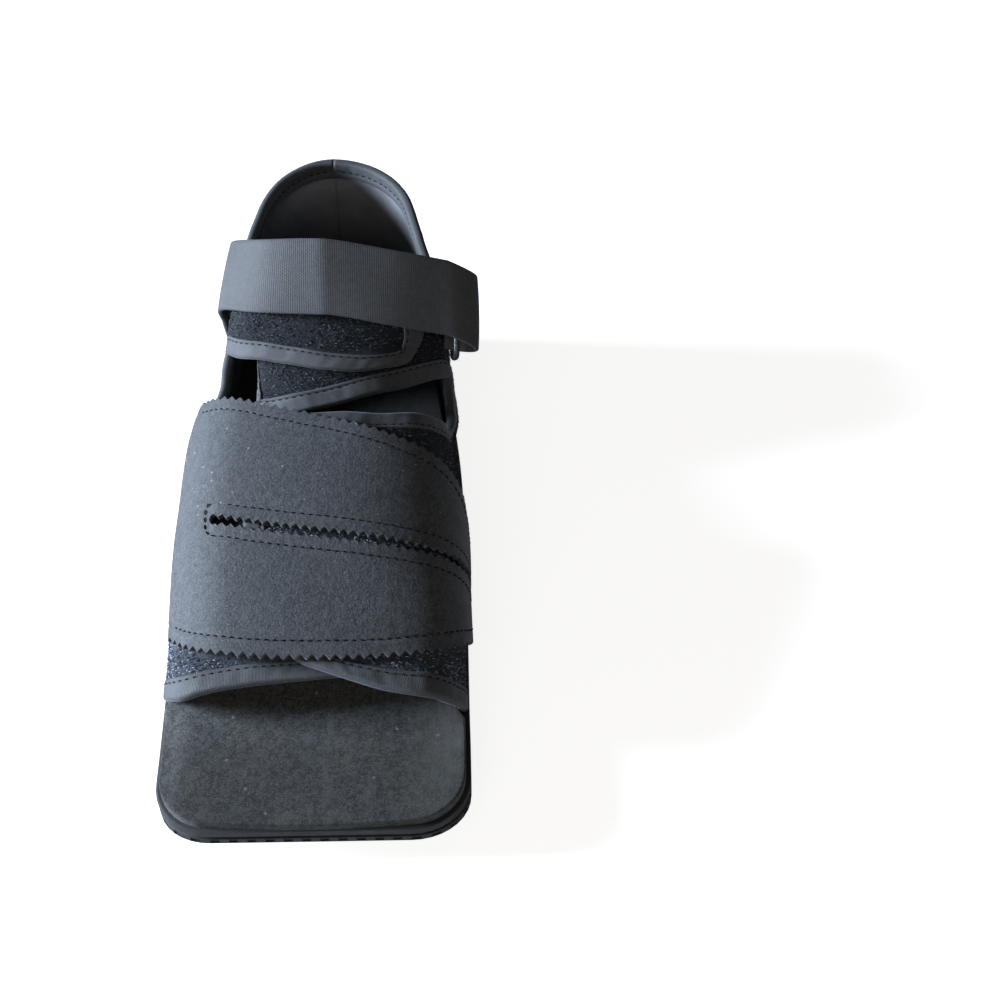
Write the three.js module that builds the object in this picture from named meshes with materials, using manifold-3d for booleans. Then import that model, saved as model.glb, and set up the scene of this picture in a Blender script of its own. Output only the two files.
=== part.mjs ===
// Square-toe postoperative shoe, in millimetres. Toe towards -Y, +Z up, origin on the ground
// under the flat patch of the outsole. Left and right are as seen from the toe: left is -X.
import * as THREE from 'three';
import { mergeVertices } from 'three/addons/utils/BufferGeometryUtils.js';
import Module from 'manifold-3d';

const wasm = await Module();
wasm.setup();

// Clearance kept between neighbouring pieces
const GAP = 0.3;

// Sole
const TOE_Y = -139;
const HEEL_Y = 142;
const HEEL_ARC_Y = 98;
const HEEL_X = -4;
const TOE_CORNER = 20;
const OUTSOLE_TOP = 22;
const FLAT_FRONT_Y = -45;
const FLAT_BACK_Y = 85;
const TOE_LIFT = 14.5;
const HEEL_LIFT = 5;
const FOOTBED_THICK = 6;
const FOOTBED_TOE_INSET = 1.7;
const FOOTBED_UPPER_INSET = 5.2;
const FOOTBED_STEP = { from: -102, to: -95.5 };
const TOE_ANGLES = [90, 68, 45, 22];
const SIDE_STATIONS = [-123, -100, -94.5, -89, -60, -30, 0, 30, 62];
const HEEL_ARC_ANGLES = [0, 15, 30, 45, 60, 75, 87];

// Cloth thicknesses and tape
const UPPER_THICK = 2.2;
const UPPER_INSET = 2.3;
const TAPE_THICK = 0.7;
const TAPE_WIDTH = 6.5;
const TAPE_GAP = 0.45;
const TAPE_START = 0.15;
const TAPE_CLEARANCES = [0.05, 0.15, 0.3];
const STRAP_THICK = 1.6;
const WEBBING_THICK = 1.7;

// How far a sheet stands off the one that it lies over, and between which places it rises
const TOE_FLAP_LIFT = { height: 4.7, from: 0.2, to: 0.62 };
const INSTEP_FLAP_LIFT = { height: 5.4, from: 0, to: 0.5 };
const STRAP_LIFT = { side: 3.3, crown: 7.9, riseFrom: 0.05, riseTo: 0.6, fallFrom: 1.26, fallTo: 1.6 };
const STRAP_FLARE = { height: 3.4, qFrom: 1.25, qTo: 1.7, uFrom: 0.6, uTo: 1.05 };

// Pinked edge of the forefoot strap
const TOOTH_DEPTH = 2;
const STRAP_COLUMNS = 36;
const STRAP_TAIL_ROWS = 3;
const SLIT_END_COLUMN = 30;
const SLIT_SHARE = { low: 0.47, high: 0.53 };

// Ring and tab at the right of the instep
const RING = { wire: 2.4, length: 37.4, corner: 2.6, sides: 8 };
const RING_FREE_BAR = { x: 49.4, depth: 1.3 };
const RING_TAB_BAR = { x: 47.8, depth: 9.4 };
const RING_LOW = new THREE.Vector3(0, 42.7, 69.4);
const RING_ALONG = new THREE.Vector3(0, 0.695, 0.719);
const TAB = { width: 22, thick: 1.3, reach: 19, from: 8.5, flare: 1.0, neck: 4.5, pinch: 0.4, facets: 8 };

// Half widths of the outsole edge
const SOLE_EDGE = [
  { y: -139, left: 52.4, right: 53.0 },
  { y: -115, left: 53.4, right: 53.4 },
  { y: -88, left: 54.8, right: 53.0 },
  { y: -50, left: 57.2, right: 52.6 },
  { y: -5, left: 59.0, right: 51.8 },
  { y: 30, left: 57.0, right: 50.2 },
  { y: 65, left: 52.0, right: 46.6 },
  { y: 98, left: 47.0, right: 41.4 },
];

// Side profile of the outsole: share of the height and how far in from the edge
const OUTSOLE_PROFILE = [
  { height: 1.0, inset: 0.7 },
  { height: 0.93, inset: 0.0 },
  { height: 0.62, inset: 0.0 },
  { height: 0.56, inset: 0.9 },
  { height: 0.48, inset: 0.9 },
  { height: 0.42, inset: 0.1 },
  { height: 0.12, inset: 0.6 },
  { height: 0.0, inset: 3.2 },
];

// Rounded edge of the footbed
const FOOTBED_PROFILE = [
  { height: 1.0, inset: 3.0 },
  { height: 0.86, inset: 0.9 },
  { height: 0.6, inset: 0.0 },
  { height: 0.2, inset: 0.0 },
  { height: 0.0, inset: 1.0 },
];

// Arches of the forefoot from the toe edge (0) to the throat (1), and on to the instep
const FOREFOOT = [
  { u: 0.0, baseY: -91, crownY: -92, crownZ: 46 },
  { u: 0.34, baseY: -46, crownY: -57, crownZ: 56 },
  { u: 0.67, baseY: 0, crownY: -26, crownZ: 65 },
  { u: 1.0, baseY: 46, crownY: 4, crownZ: 72 },
  { u: 1.35, baseY: 84, crownY: 34, crownZ: 79 },
];
const FOREFOOT_BOXY = 0.84;
const FOREFOOT_ROWS = 8;
const FOREFOOT_COLUMNS = 9;
const SHOULDER_LEAN = 0.985;

// Toe flaps: how far each sheet goes over the crown (1 is the crown), and its toe edge
const TOE_FLAP_END = [
  { u: 0.0, left: 1.14, right: 1.03 },
  { u: 0.06, left: 1.18, right: 1.08 },
  { u: 0.15, left: 1.22, right: 1.13 },
  { u: 0.5, left: 1.26, right: 1.21 },
  { u: 0.85, left: 1.23, right: 1.18 },
  { u: 1.0, left: 1.16, right: 1.1 },
];
const TOE_EDGE = [
  { q: 0.0, left: 0.045, right: 0.0 },
  { q: 0.4, left: -0.043, right: -0.065 },
  { q: 0.6, left: -0.043, right: -0.076 },
  { q: 0.8, left: -0.03, right: -0.058 },
  { q: 0.95, left: -0.02, right: -0.015 },
  { q: 1.1, left: -0.005, right: 0.05 },
  { q: 1.4, left: 0.03, right: 0.1 },
];

// Side wall behind the forefoot: where a station stands on the sole, and its upper edge
const SIDE_WALL = [
  { baseY: 54, topY: 36, topZ: 44.0, left: 49.6, right: 46.9 },
  { baseY: 59, topY: 45, topZ: 46.0, left: 46.9, right: 45.8 },
  { baseY: 63, topY: 51.5, topZ: 48.6, left: 45.3, right: 44.8 },
  { baseY: 66, topY: 55, topZ: 52, left: 44.4, right: 44.0 },
  { baseY: 71, topY: 61, topZ: 61, left: 42.2, right: 42.2 },
  { baseY: 76, topY: 66, topZ: 69.5, left: 40.4, right: 40.0 },
  { baseY: 81, topY: 70.5, topZ: 77.5, left: 38.8, right: 38.6 },
  { baseY: 86, topY: 75, topZ: 85, left: 37.4, right: 37.0 },
  { baseY: 93, topY: 87, topZ: 90.5, left: 35.2, right: 35.0 },
  { baseY: 98, topY: 98, topZ: 94.5, left: 32.2, right: 32.2 },
];
const FLAP_ROOT = { left: 5, right: 4, last: 8 };
const HEEL_ANGLES = [15, 30, 45, 60, 75, 89.3];
const HEEL_RIM = { depth: 37, backZ: 100.5 };
const WALL_ROWS = 4;
const WALL_Q = 0.22;
const WALL_BULGE = 1.2;

// Instep flaps lie along one sloping line over the crown
const INSTEP_LOW = { y: 28, z: 57.5 };
const INSTEP_HIGH = { y: 59, z: 86.5 };
const INSTEP_SPAN = { left: [0.4, 0.95], right: [0, 1] };
const INSTEP_END = [
  { at: 0.0, left: 1.42, right: 1.4 },
  { at: 0.25, left: 1.52, right: 1.46 },
  { at: 0.5, left: 1.54, right: 1.47 },
  { at: 0.75, left: 1.5, right: 1.44 },
  { at: 1.0, left: 1.34, right: 1.34 },
];
// How far the toe-side edge of each flap is drawn up the slope, along the flap
const INSTEP_SHIFT = [
  { q: 0.0, left: 0, right: 0 },
  { q: 0.12, left: 0, right: 0.6 },
  { q: 0.3, left: 1.0, right: 4.1 },
  { q: 0.6, left: 1.4, right: 4.9 },
  { q: 0.8, left: 0.4, right: 4.3 },
  { q: 1.0, left: -1.5, right: 2.3 },
  { q: 1.2, left: -2.2, right: 0 },
  { q: 1.5, left: -0.5, right: -1 },
];
const INSTEP_UP = { y: 0.73, z: 0.68 };
const INSTEP_BOXY = { low: 0.5, high: 0.56 };
const INSTEP_COLUMNS = 10;

// Edges of the forefoot strap, as places along the arches
const STRAP_EDGES = [
  { q: 0.0, low: 0.24, slitLow: 0.395, slitHigh: 0.41, high: 0.57 },
  { q: 0.3, low: 0.14, slitLow: 0.375, slitHigh: 0.405, high: 0.67 },
  { q: 0.6, low: 0.06, slitLow: 0.39, slitHigh: 0.43, high: 0.81 },
  { q: 1.0, low: 0.03, slitLow: 0.444, slitHigh: 0.486, high: 0.965 },
  { q: 1.35, low: 0.07, slitLow: 0.518, slitHigh: 0.562, high: 1.07 },
  { q: 1.72, low: 0.19, slitLow: 0.6, slitHigh: 0.64, high: 1.07 },
];
const STRAP_ROOT_Q = 0.03;
const STRAP_END = [
  { share: 0.0, q: 1.66 },
  { share: 0.06, q: 1.7 },
  { share: 0.3, q: 1.66 },
  { share: 0.6, q: 1.59 },
  { share: 0.94, q: 1.6 },
  { share: 1.0, q: 1.56 },
];

// Route of the ankle webbing, its toe-side edge and its heel-side edge
const ANKLE_ROUTE = [
  { lowX: -47.4, lowY: 86, lowZ: 42, highX: -42.4, highY: 110, highZ: 58 },
  { lowX: -46.8, lowY: 79, lowZ: 54, highX: -40.8, highY: 104, highZ: 70 },
  { lowX: -45.4, lowY: 71, lowZ: 66.5, highX: -39.8, highY: 97.5, highZ: 81.5 },
  { lowX: -43.8, lowY: 62, lowZ: 78.5, highX: -39.8, highY: 88, highZ: 94.5 },
  { lowX: -28, lowY: 51, lowZ: 87.8, highX: -25, highY: 73, highZ: 108.3 },
  { lowX: 0, lowY: 46, lowZ: 88.3, highX: 0, highY: 66.8, highZ: 110 },
  { lowX: 25, lowY: 45, lowZ: 85.5, highX: 25, highY: 65.5, highZ: 106.5 },
  { lowX: 44, lowY: 46, lowZ: 79.5, highX: 44, highY: 66.3, highZ: 100.5 },
  { lowX: 53, lowY: 46.3, lowZ: 77, highX: 53, highY: 66.6, highZ: 98 },
];
const ANKLE_FOLD = { x: 53.2, gap: 8, tailX: 44.5, skew: 4, tailSkew: 4.4, angles: [-60, -30, 0, 30, 60, 90] };
const ANKLE_STEPS = 4;

const LEFT = -1;
const RIGHT = 1;
const { lerp, smoothstep, degToRad } = THREE.MathUtils;
const vec = (x, y, z) => new THREE.Vector3(x, y, z);
const sideName = (side) => (side === LEFT ? 'left' : 'right');

// Smooth value of one column of a table at a place along it
function read(table, by, column, at) {
  let i = 0;
  while (i < table.length - 2 && at > table[i + 1][by]) i += 1;
  const a = table[i];
  const b = table[i + 1];
  const before = table[Math.max(i - 1, 0)];
  const after = table[Math.min(i + 2, table.length - 1)];
  const span = b[by] - a[by];
  const t = (at - a[by]) / span;
  if (t < 0) return a[column] + t * (b[column] - a[column]);
  if (t > 1) return b[column] + (t - 1) * (b[column] - a[column]);
  const slopeA = (b[column] - before[column]) * span / (b[by] - before[by]);
  const slopeB = (after[column] - a[column]) * span / (after[by] - a[by]);
  const t2 = t * t;
  const t3 = t2 * t;
  return (2 * t3 - 3 * t2 + 1) * a[column] + (t3 - 2 * t2 + t) * slopeA
    + (3 * t2 - 2 * t3) * b[column] + (t3 - t2) * slopeB;
}

function steps(from, to, count) {
  return Array.from({ length: count + 1 }, (_, i) => from + (to - from) * i / count);
}

// A surface of shared points that can be given a thickness
class Sheet {
  constructor() {
    this.points = [];
    this.faces = [];
    this.known = new Map();
  }

  point(p) {
    const key = `${p.x.toFixed(3)} ${p.y.toFixed(3)} ${p.z.toFixed(3)}`;
    if (!this.known.has(key)) {
      this.known.set(key, this.points.length);
      this.points.push(p.clone());
    }
    return this.known.get(key);
  }

  face(a, b, c, flip = false) {
    const corners = [this.point(a), this.point(b), this.point(c)];
    this.faces.push(flip ? corners.reverse() : corners);
  }

  patch(rows, flip = false) {
    for (let i = 0; i + 1 < rows.length; i += 1) {
      for (let j = 0; j + 1 < rows[i].length; j += 1) {
        this.face(rows[i][j], rows[i + 1][j], rows[i + 1][j + 1], flip);
        this.face(rows[i][j], rows[i + 1][j + 1], rows[i][j + 1], flip);
      }
    }
  }

  faceNormal([a, b, c]) {
    const ab = this.points[b].clone().sub(this.points[a]);
    const ac = this.points[c].clone().sub(this.points[a]);
    return ab.cross(ac);
  }

  normals() {
    const sums = this.points.map(() => vec(0, 0, 0));
    for (const face of this.faces) {
      const normal = this.faceNormal(face);
      for (const corner of face) sums[corner].add(normal);
    }
    return sums.map((sum) => sum.normalize());
  }

  // Edges with a face on one side only, from each point to the next one
  rim() {
    const seen = new Set();
    for (const [a, b, c] of this.faces) {
      for (const [from, to] of [[a, b], [b, c], [c, a]]) seen.add(`${from} ${to}`);
    }
    const next = new Map();
    for (const edge of seen) {
      const [from, to] = edge.split(' ').map(Number);
      if (!seen.has(`${to} ${from}`)) next.set(from, to);
    }
    return next;
  }

  solid(thickness) {
    const normals = this.normals();
    const count = this.points.length;
    const half = thickness / 2;
    const position = [];
    for (const way of [half, -half]) {
      this.points.forEach((p, i) => position.push(...p.clone().addScaledVector(normals[i], way).toArray()));
    }
    const index = [];
    for (const [a, b, c] of this.faces) index.push(a, b, c, c + count, b + count, a + count);
    for (const [a, b] of this.rim()) index.push(b, a, a + count, b, a + count, b + count);
    return solidFrom(position, index);
  }
}

function solidFrom(position, index) {
  const geometry = new THREE.BufferGeometry();
  geometry.setAttribute('position', new THREE.Float32BufferAttribute(position, 3));
  geometry.setIndex(index);
  return geometry;
}

// Closed body through rings of matching points, capped across unless it returns to its start
function loft(rings, closed = false) {
  const size = rings[0].length;
  const position = rings.flat().flatMap((p) => p.toArray());
  const index = [];
  const last = closed ? rings.length : rings.length - 1;
  for (let i = 0; i < last; i += 1) {
    const here = i * size;
    const there = ((i + 1) % rings.length) * size;
    for (let j = 0; j < size; j += 1) {
      const k = (j + 1) % size;
      index.push(here + j, here + k, there + k, here + j, there + k, there + j);
    }
  }
  if (!closed) {
    const end = (rings.length - 1) * size;
    for (let j = 0; j < size / 2 - 1; j += 1) {
      const a = j;
      const b = j + 1;
      const c = size - 2 - j;
      const d = size - 1 - j;
      index.push(a, c, b, a, d, c);
      index.push(end + a, end + b, end + c, end + a, end + c, end + d);
    }
  }
  return solidFrom(position, index);
}

function manifoldOf(geometry) {
  const welded = mergeVertices(geometry, 1e-4);
  const vertProperties = new Float32Array(welded.attributes.position.array);
  const triVerts = new Uint32Array(welded.index.array);
  return new wasm.Manifold(new wasm.Mesh({ numProp: 3, vertProperties, triVerts }));
}

// What is left of a body outside the cutters, without any crumbs
function cutClear(body, cutters) {
  const left = cutters.reduce((rest, cutter) => rest.subtract(manifoldOf(cutter)), manifoldOf(body));
  const [largest] = left.decompose().sort((a, b) => b.volume() - a.volume());
  const { vertProperties, triVerts } = largest.getMesh();
  return solidFrom(Array.from(vertProperties), Array.from(triVerts));
}

// Sole outline

function soleHalf(side, y) {
  return read(SOLE_EDGE, 'y', sideName(side), y);
}

function groundZ(y) {
  if (y < FLAT_FRONT_Y) return TOE_LIFT * ((FLAT_FRONT_Y - y) / (FLAT_FRONT_Y - TOE_Y)) ** 2;
  if (y > FLAT_BACK_Y) return HEEL_LIFT * ((y - FLAT_BACK_Y) / (HEEL_Y - FLAT_BACK_Y)) ** 2;
  return 0;
}

// One side of the sole outline from the toe to the heel, moved in by inset(y)
function soleSide(side, inset) {
  const points = [];
  const cornerX = soleHalf(side, TOE_Y + TOE_CORNER) - TOE_CORNER;
  for (const degrees of TOE_ANGLES) {
    const angle = degToRad(degrees);
    const y = TOE_Y + TOE_CORNER - TOE_CORNER * Math.sin(angle);
    const radius = TOE_CORNER - inset(y);
    points.push([side * (cornerX + radius * Math.cos(angle)), TOE_Y + TOE_CORNER - radius * Math.sin(angle)]);
  }
  for (const y of SIDE_STATIONS) {
    points.push([side * (soleHalf(side, y) - inset(y)), y]);
  }
  for (const degrees of HEEL_ARC_ANGLES) {
    const angle = degToRad(degrees);
    const reach = inset(HEEL_Y);
    const x = lerp(HEEL_X, side * (soleHalf(side, HEEL_ARC_Y) - reach), Math.cos(angle));
    points.push([x, HEEL_ARC_Y + (HEEL_Y - HEEL_ARC_Y - reach) * Math.sin(angle)]);
  }
  return points;
}

function soleRing(inset, heightAt) {
  const left = soleSide(LEFT, inset);
  const right = soleSide(RIGHT, inset).reverse();
  return [...left, ...right].map(([x, y]) => vec(x, y, heightAt(y)));
}

function outsole() {
  const rings = OUTSOLE_PROFILE.map(({ height, inset }) => soleRing(
    () => inset,
    (y) => lerp(groundZ(y), OUTSOLE_TOP, height),
  ));
  return loft(rings);
}

function footbed() {
  const bottom = OUTSOLE_TOP + GAP;
  const rings = FOOTBED_PROFILE.map(({ height, inset }) => soleRing(
    (y) => {
      const step = smoothstep(y, FOOTBED_STEP.from, FOOTBED_STEP.to);
      return inset + lerp(FOOTBED_TOE_INSET, FOOTBED_UPPER_INSET, step);
    },
    () => bottom + height * FOOTBED_THICK,
  ));
  return loft(rings);
}

// Upper

const BASE_Z = OUTSOLE_TOP + GAP;

function basePoint(side, y) {
  return vec(side * (soleHalf(side, y) - UPPER_INSET), y, BASE_Z);
}

// Half arch from a foot to the crown; boxy shoulders keep the side walls upright
function halfArch(foot, crown, boxy, t) {
  const shoulder = vec(foot.x * SHOULDER_LEAN, crown.y, crown.z);
  const rise = foot.clone().lerp(shoulder, boxy);
  const over = crown.clone().lerp(shoulder, boxy);
  return new THREE.CubicBezierCurve3(foot, rise, over, crown).getPoint(t);
}

// Place on the forefoot: u from toe to throat, q from this side's foot (0) over the crown (1)
function forefootAt(side, u, q) {
  const own = q <= 1 ? side : -side;
  const foot = basePoint(own, read(FOREFOOT, 'u', 'baseY', u));
  const crown = vec(0, read(FOREFOOT, 'u', 'crownY', u), read(FOREFOOT, 'u', 'crownZ', u));
  return halfArch(foot, crown, FOREFOOT_BOXY, q <= 1 ? q : 2 - q);
}

// The same place lifted off the surface, for a sheet that lies over another
function lifted(place, side, u, q, lift) {
  const d = 0.004;
  const p = place(side, u, q);
  if (lift === 0) return p;
  const along = place(side, u + d, q).sub(place(side, u - d, q));
  const across = place(side, u, Math.min(q + d, 1.999)).sub(place(side, u, Math.max(q - d, 0)));
  return p.addScaledVector(along.cross(across).normalize(), side * lift);
}

function toeFlapLift(side, q) {
  const { height, from, to } = TOE_FLAP_LIFT;
  return side === RIGHT ? height * smoothstep(q, from, to) : 0;
}

// Rows of the forefoot panel share their lowest part with the side wall behind it
function forefootRows(side) {
  const name = sideName(side);
  return steps(0, 1, FOREFOOT_ROWS).map((a) => {
    const low = steps(0, WALL_Q, WALL_ROWS);
    const end = read(TOE_FLAP_END, 'u', name, a);
    const high = steps(WALL_Q, end, FOREFOOT_COLUMNS).slice(1);
    return [...low, ...high].map((q) => {
      const front = read(TOE_EDGE, 'q', name, q);
      const u = lerp(front, 1, a);
      return lifted(forefootAt, side, u, q, toeFlapLift(side, q));
    });
  });
}

function wallStation(foot, top, out) {
  return steps(0, 1, WALL_ROWS).map((v) => foot.clone().lerp(top, v)
    .addScaledVector(out, WALL_BULGE * 4 * v * (1 - v)));
}

function sideStations(side) {
  return SIDE_WALL.map((row) => wallStation(
    basePoint(side, row.baseY),
    vec(side * row[sideName(side)], row.topY, row.topZ),
    vec(side, 0, 0),
  ));
}

function heelStations(side) {
  const rim = SIDE_WALL[SIDE_WALL.length - 1];
  const depth = HEEL_Y - UPPER_INSET - HEEL_ARC_Y;
  const width = soleHalf(side, HEEL_ARC_Y) - UPPER_INSET;
  return HEEL_ANGLES.map((degrees) => {
    const angle = degToRad(degrees);
    const out = vec(side * Math.cos(angle), Math.sin(angle), 0);
    const across = (x) => lerp(HEEL_X, side * x, Math.cos(angle));
    const foot = vec(across(width), HEEL_ARC_Y + depth * out.y, BASE_Z);
    const rimZ = lerp(rim.topZ, HEEL_RIM.backZ, Math.sin(angle));
    const top = vec(across(rim[sideName(side)]), HEEL_ARC_Y + HEEL_RIM.depth * out.y, rimZ);
    return wallStation(foot, top, out);
  });
}

// Instep flap: from its root on the side wall over the crown, to a rounded end
function instepAt(side, at, q) {
  const own = q <= 1 ? side : -side;
  const name = sideName(own);
  const first = FLAP_ROOT[sideName(side)];
  const row = first - 1 + at * (FLAP_ROOT.last - first);
  const table = SIDE_WALL.map((station, index) => ({ ...station, index }));
  const root = vec(
    own * read(table, 'index', name, row),
    read(table, 'index', 'topY', row),
    read(table, 'index', 'topZ', row),
  );
  const along = lerp(...INSTEP_SPAN[sideName(side)], at);
  const crown = vec(
    0,
    lerp(INSTEP_LOW.y, INSTEP_HIGH.y, along),
    lerp(INSTEP_LOW.z, INSTEP_HIGH.z, along),
  );
  const boxy = lerp(INSTEP_BOXY.low, INSTEP_BOXY.high, at);
  const shift = read(INSTEP_SHIFT, 'q', sideName(side), q) * (1 - at);
  return halfArch(root, crown, boxy, q <= 1 ? q : 2 - q)
    .add(vec(0, INSTEP_UP.y * shift, INSTEP_UP.z * shift));
}

function instepRows(side) {
  const name = sideName(side);
  const { height, from, to } = INSTEP_FLAP_LIFT;
  return steps(0, 1, FLAP_ROOT.last - FLAP_ROOT[name]).map((at) => {
    const end = read(INSTEP_END, 'at', name, at);
    return steps(0, end, INSTEP_COLUMNS).map((q) => {
      const lift = side === LEFT ? height * smoothstep(q, from, to) : 0;
      return lifted(instepAt, side, at, q, lift);
    });
  });
}

function upperSheet(side) {
  const sheet = new Sheet();
  const flip = side === LEFT;
  const forefoot = forefootRows(side);
  const throat = forefoot[forefoot.length - 1].slice(0, WALL_ROWS + 1);
  const wall = [throat, ...sideStations(side), ...heelStations(side)];
  sheet.patch(forefoot, flip);
  sheet.patch(wall, flip);
  sheet.patch(instepRows(side), flip);
  return { sheet, start: forefoot[0][0], end: wall[wall.length - 1][WALL_ROWS] };
}

// Binding tape

function freeEdge({ sheet, start, end }) {
  const next = sheet.rim();
  const back = new Map([...next].map(([from, to]) => [to, from]));
  const first = sheet.point(start);
  const last = sheet.point(end);
  for (const way of [next, back]) {
    const path = [first];
    while (path[path.length - 1] !== last) path.push(way.get(path[path.length - 1]));
    const lifts = path.filter((i) => sheet.points[i].z > BASE_Z + 1).length;
    if (lifts > path.length / 2 && sheet.points[path[1]].z > BASE_Z + 1) return path;
  }
  throw new Error('the free edge of a panel was not found');
}

// Nearest place on a sheet to a point, with the sheet's normal there
function nearestOn(sheet, normals, p) {
  let best = null;
  const found = vec(0, 0, 0);
  for (const face of sheet.faces) {
    const [a, b, c] = face.map((i) => sheet.points[i]);
    const triangle = new THREE.Triangle(a, b, c);
    triangle.closestPointToPoint(p, found);
    const distance = found.distanceToSquared(p);
    if (!best || distance < best.distance) best = { distance, place: found.clone(), face, triangle };
  }
  const share = best.triangle.getBarycoord(best.place, vec(0, 0, 0));
  const normal = vec(0, 0, 0);
  best.face.forEach((i, k) => normal.addScaledVector(normals[i], share.getComponent(k)));
  return { place: best.place, normal: normal.normalize() };
}

function bindingTape(upper) {
  const { sheet } = upper;
  const normals = sheet.normals();
  const path = freeEdge(upper);
  const off = UPPER_THICK / 2 + TAPE_GAP + TAPE_THICK / 2;
  const rows = path.map((here, i) => {
    const p = sheet.points[here];
    const n = normals[here];
    const before = sheet.points[path[Math.max(i - 1, 0)]];
    const after = sheet.points[path[Math.min(i + 1, path.length - 1)]];
    const along = after.clone().sub(before).normalize();
    const inward = n.clone().cross(along).normalize();
    const probe = p.clone().addScaledVector(inward, 1);
    if (nearestOn(sheet, normals, probe).place.distanceTo(p) < 0.5) inward.negate();
    const leg = nearestOn(sheet, normals, p.clone().addScaledVector(inward, TAPE_WIDTH));
    const nose = p.clone().addScaledVector(inward, -TAPE_GAP - TAPE_THICK / 2);
    const edge = (way) => p.clone().addScaledVector(n, way * off);
    const end = (way) => leg.place.clone().addScaledVector(leg.normal, way * off);
    const turn = (way) => nose.clone().addScaledVector(n, way * off * 0.5);
    return [end(1), edge(1), turn(1), turn(-1), edge(-1), end(-1)];
  });
  rows[0].forEach((p, k) => p.lerp(rows[1][k], TAPE_START));
  const tape = new Sheet();
  const [a, b] = rows;
  const outward = b[0].clone().sub(a[0]).cross(a[1].clone().sub(a[0]));
  tape.patch(rows, outward.dot(normals[path[0]]) < 0);
  const cutters = TAPE_CLEARANCES.map((clear) => sheet.solid(UPPER_THICK + 2 * clear));
  return cutClear(tape.solid(TAPE_THICK), cutters);
}

// Forefoot strap

function strapAt(u, q) {
  const { side, crown, riseFrom, riseTo, fallFrom, fallTo } = STRAP_LIFT;
  const { height, qFrom, qTo, uFrom, uTo } = STRAP_FLARE;
  const over = smoothstep(q, riseFrom, riseTo) * (1 - smoothstep(q, fallFrom, fallTo));
  const flare = height * smoothstep(q, qFrom, qTo) * smoothstep(u, uFrom, uTo);
  const lift = lerp(side, crown, over) + flare;
  return lifted(forefootAt, RIGHT, u, q, lift);
}

function forefootStrap() {
  const sheet = new Sheet();
  const columns = steps(0, 1, STRAP_COLUMNS);
  const rows = steps(0, 1, STRAP_TAIL_ROWS);
  const tail = (fromName, toName, fromShare, toShare) => columns.map((c) => rows.map((r) => {
    const share = lerp(fromShare, toShare, r);
    const q = lerp(STRAP_ROOT_Q, read(STRAP_END, 'share', 'q', share), c);
    const u = lerp(read(STRAP_EDGES, 'q', fromName, q), read(STRAP_EDGES, 'q', toName, q), r);
    return strapAt(u, q);
  }));
  const low = tail('low', 'slitLow', 0, SLIT_SHARE.low);
  const high = tail('slitHigh', 'high', SLIT_SHARE.high, 1);
  sheet.patch(low, true);
  sheet.patch(high, true);
  const beyond = columns.map((_, i) => [low[i][STRAP_TAIL_ROWS], high[i][0]]).slice(SLIT_END_COLUMN);
  sheet.patch(beyond, true);
  const tooth = (a, b, inside, flip) => {
    const middle = a.clone().add(b).multiplyScalar(0.5);
    const away = middle.clone().sub(inside).normalize().multiplyScalar(TOOTH_DEPTH);
    sheet.face(a, b, middle.add(away), flip);
  };
  for (let i = 0; i < STRAP_COLUMNS; i += 1) {
    tooth(low[i][0], low[i + 1][0], low[i][1], false);
    tooth(high[i][STRAP_TAIL_ROWS], high[i + 1][STRAP_TAIL_ROWS], high[i][STRAP_TAIL_ROWS - 1], true);
  }
  return sheet.solid(STRAP_THICK);
}

// Ankle strap

const RING_INWARD = RING_ALONG.clone().cross(vec(1, 0, 0)).normalize();

function ankleStrap() {
  const low = ANKLE_ROUTE.map((row) => vec(row.lowX, row.lowY, row.lowZ));
  const high = ANKLE_ROUTE.map((row) => vec(row.highX, row.highY, row.highZ));
  const count = (ANKLE_ROUTE.length - 1) * ANKLE_STEPS;
  const edges = [low, high].map((points) => new THREE.CatmullRomCurve3(points).getPoints(count));
  const lastLow = low[low.length - 1];
  const lastHigh = high[high.length - 1];
  const radius = ANKLE_FOLD.gap / 2;
  for (const degrees of ANKLE_FOLD.angles) {
    const angle = degToRad(degrees);
    const depth = radius * (1 + Math.sin(angle));
    const reach = ANKLE_FOLD.x - lastLow.x + radius * Math.cos(angle);
    [lastLow, lastHigh].forEach((p, k) => edges[k].push(
      p.clone().add(vec(reach, 0, 0)).addScaledVector(RING_INWARD, depth)
        .addScaledVector(RING_ALONG, -ANKLE_FOLD.skew * depth / ANKLE_FOLD.gap),
    ));
  }
  [lastLow, lastHigh].forEach((p, k) => edges[k].push(
    p.clone().setX(ANKLE_FOLD.tailX).addScaledVector(RING_INWARD, ANKLE_FOLD.gap)
      .addScaledVector(RING_ALONG, -ANKLE_FOLD.tailSkew),
  ));
  const sheet = new Sheet();
  sheet.patch(edges[0].map((p, i) => [p, p.clone().lerp(edges[1][i], 0.5), edges[1][i]]));
  return sheet.solid(WEBBING_THICK);
}

// Ring and tab

// Lower end of one of the ring's long bars
function ringBar({ x, depth }) {
  return RING_LOW.clone().setX(x).addScaledVector(RING_INWARD, depth);
}

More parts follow.
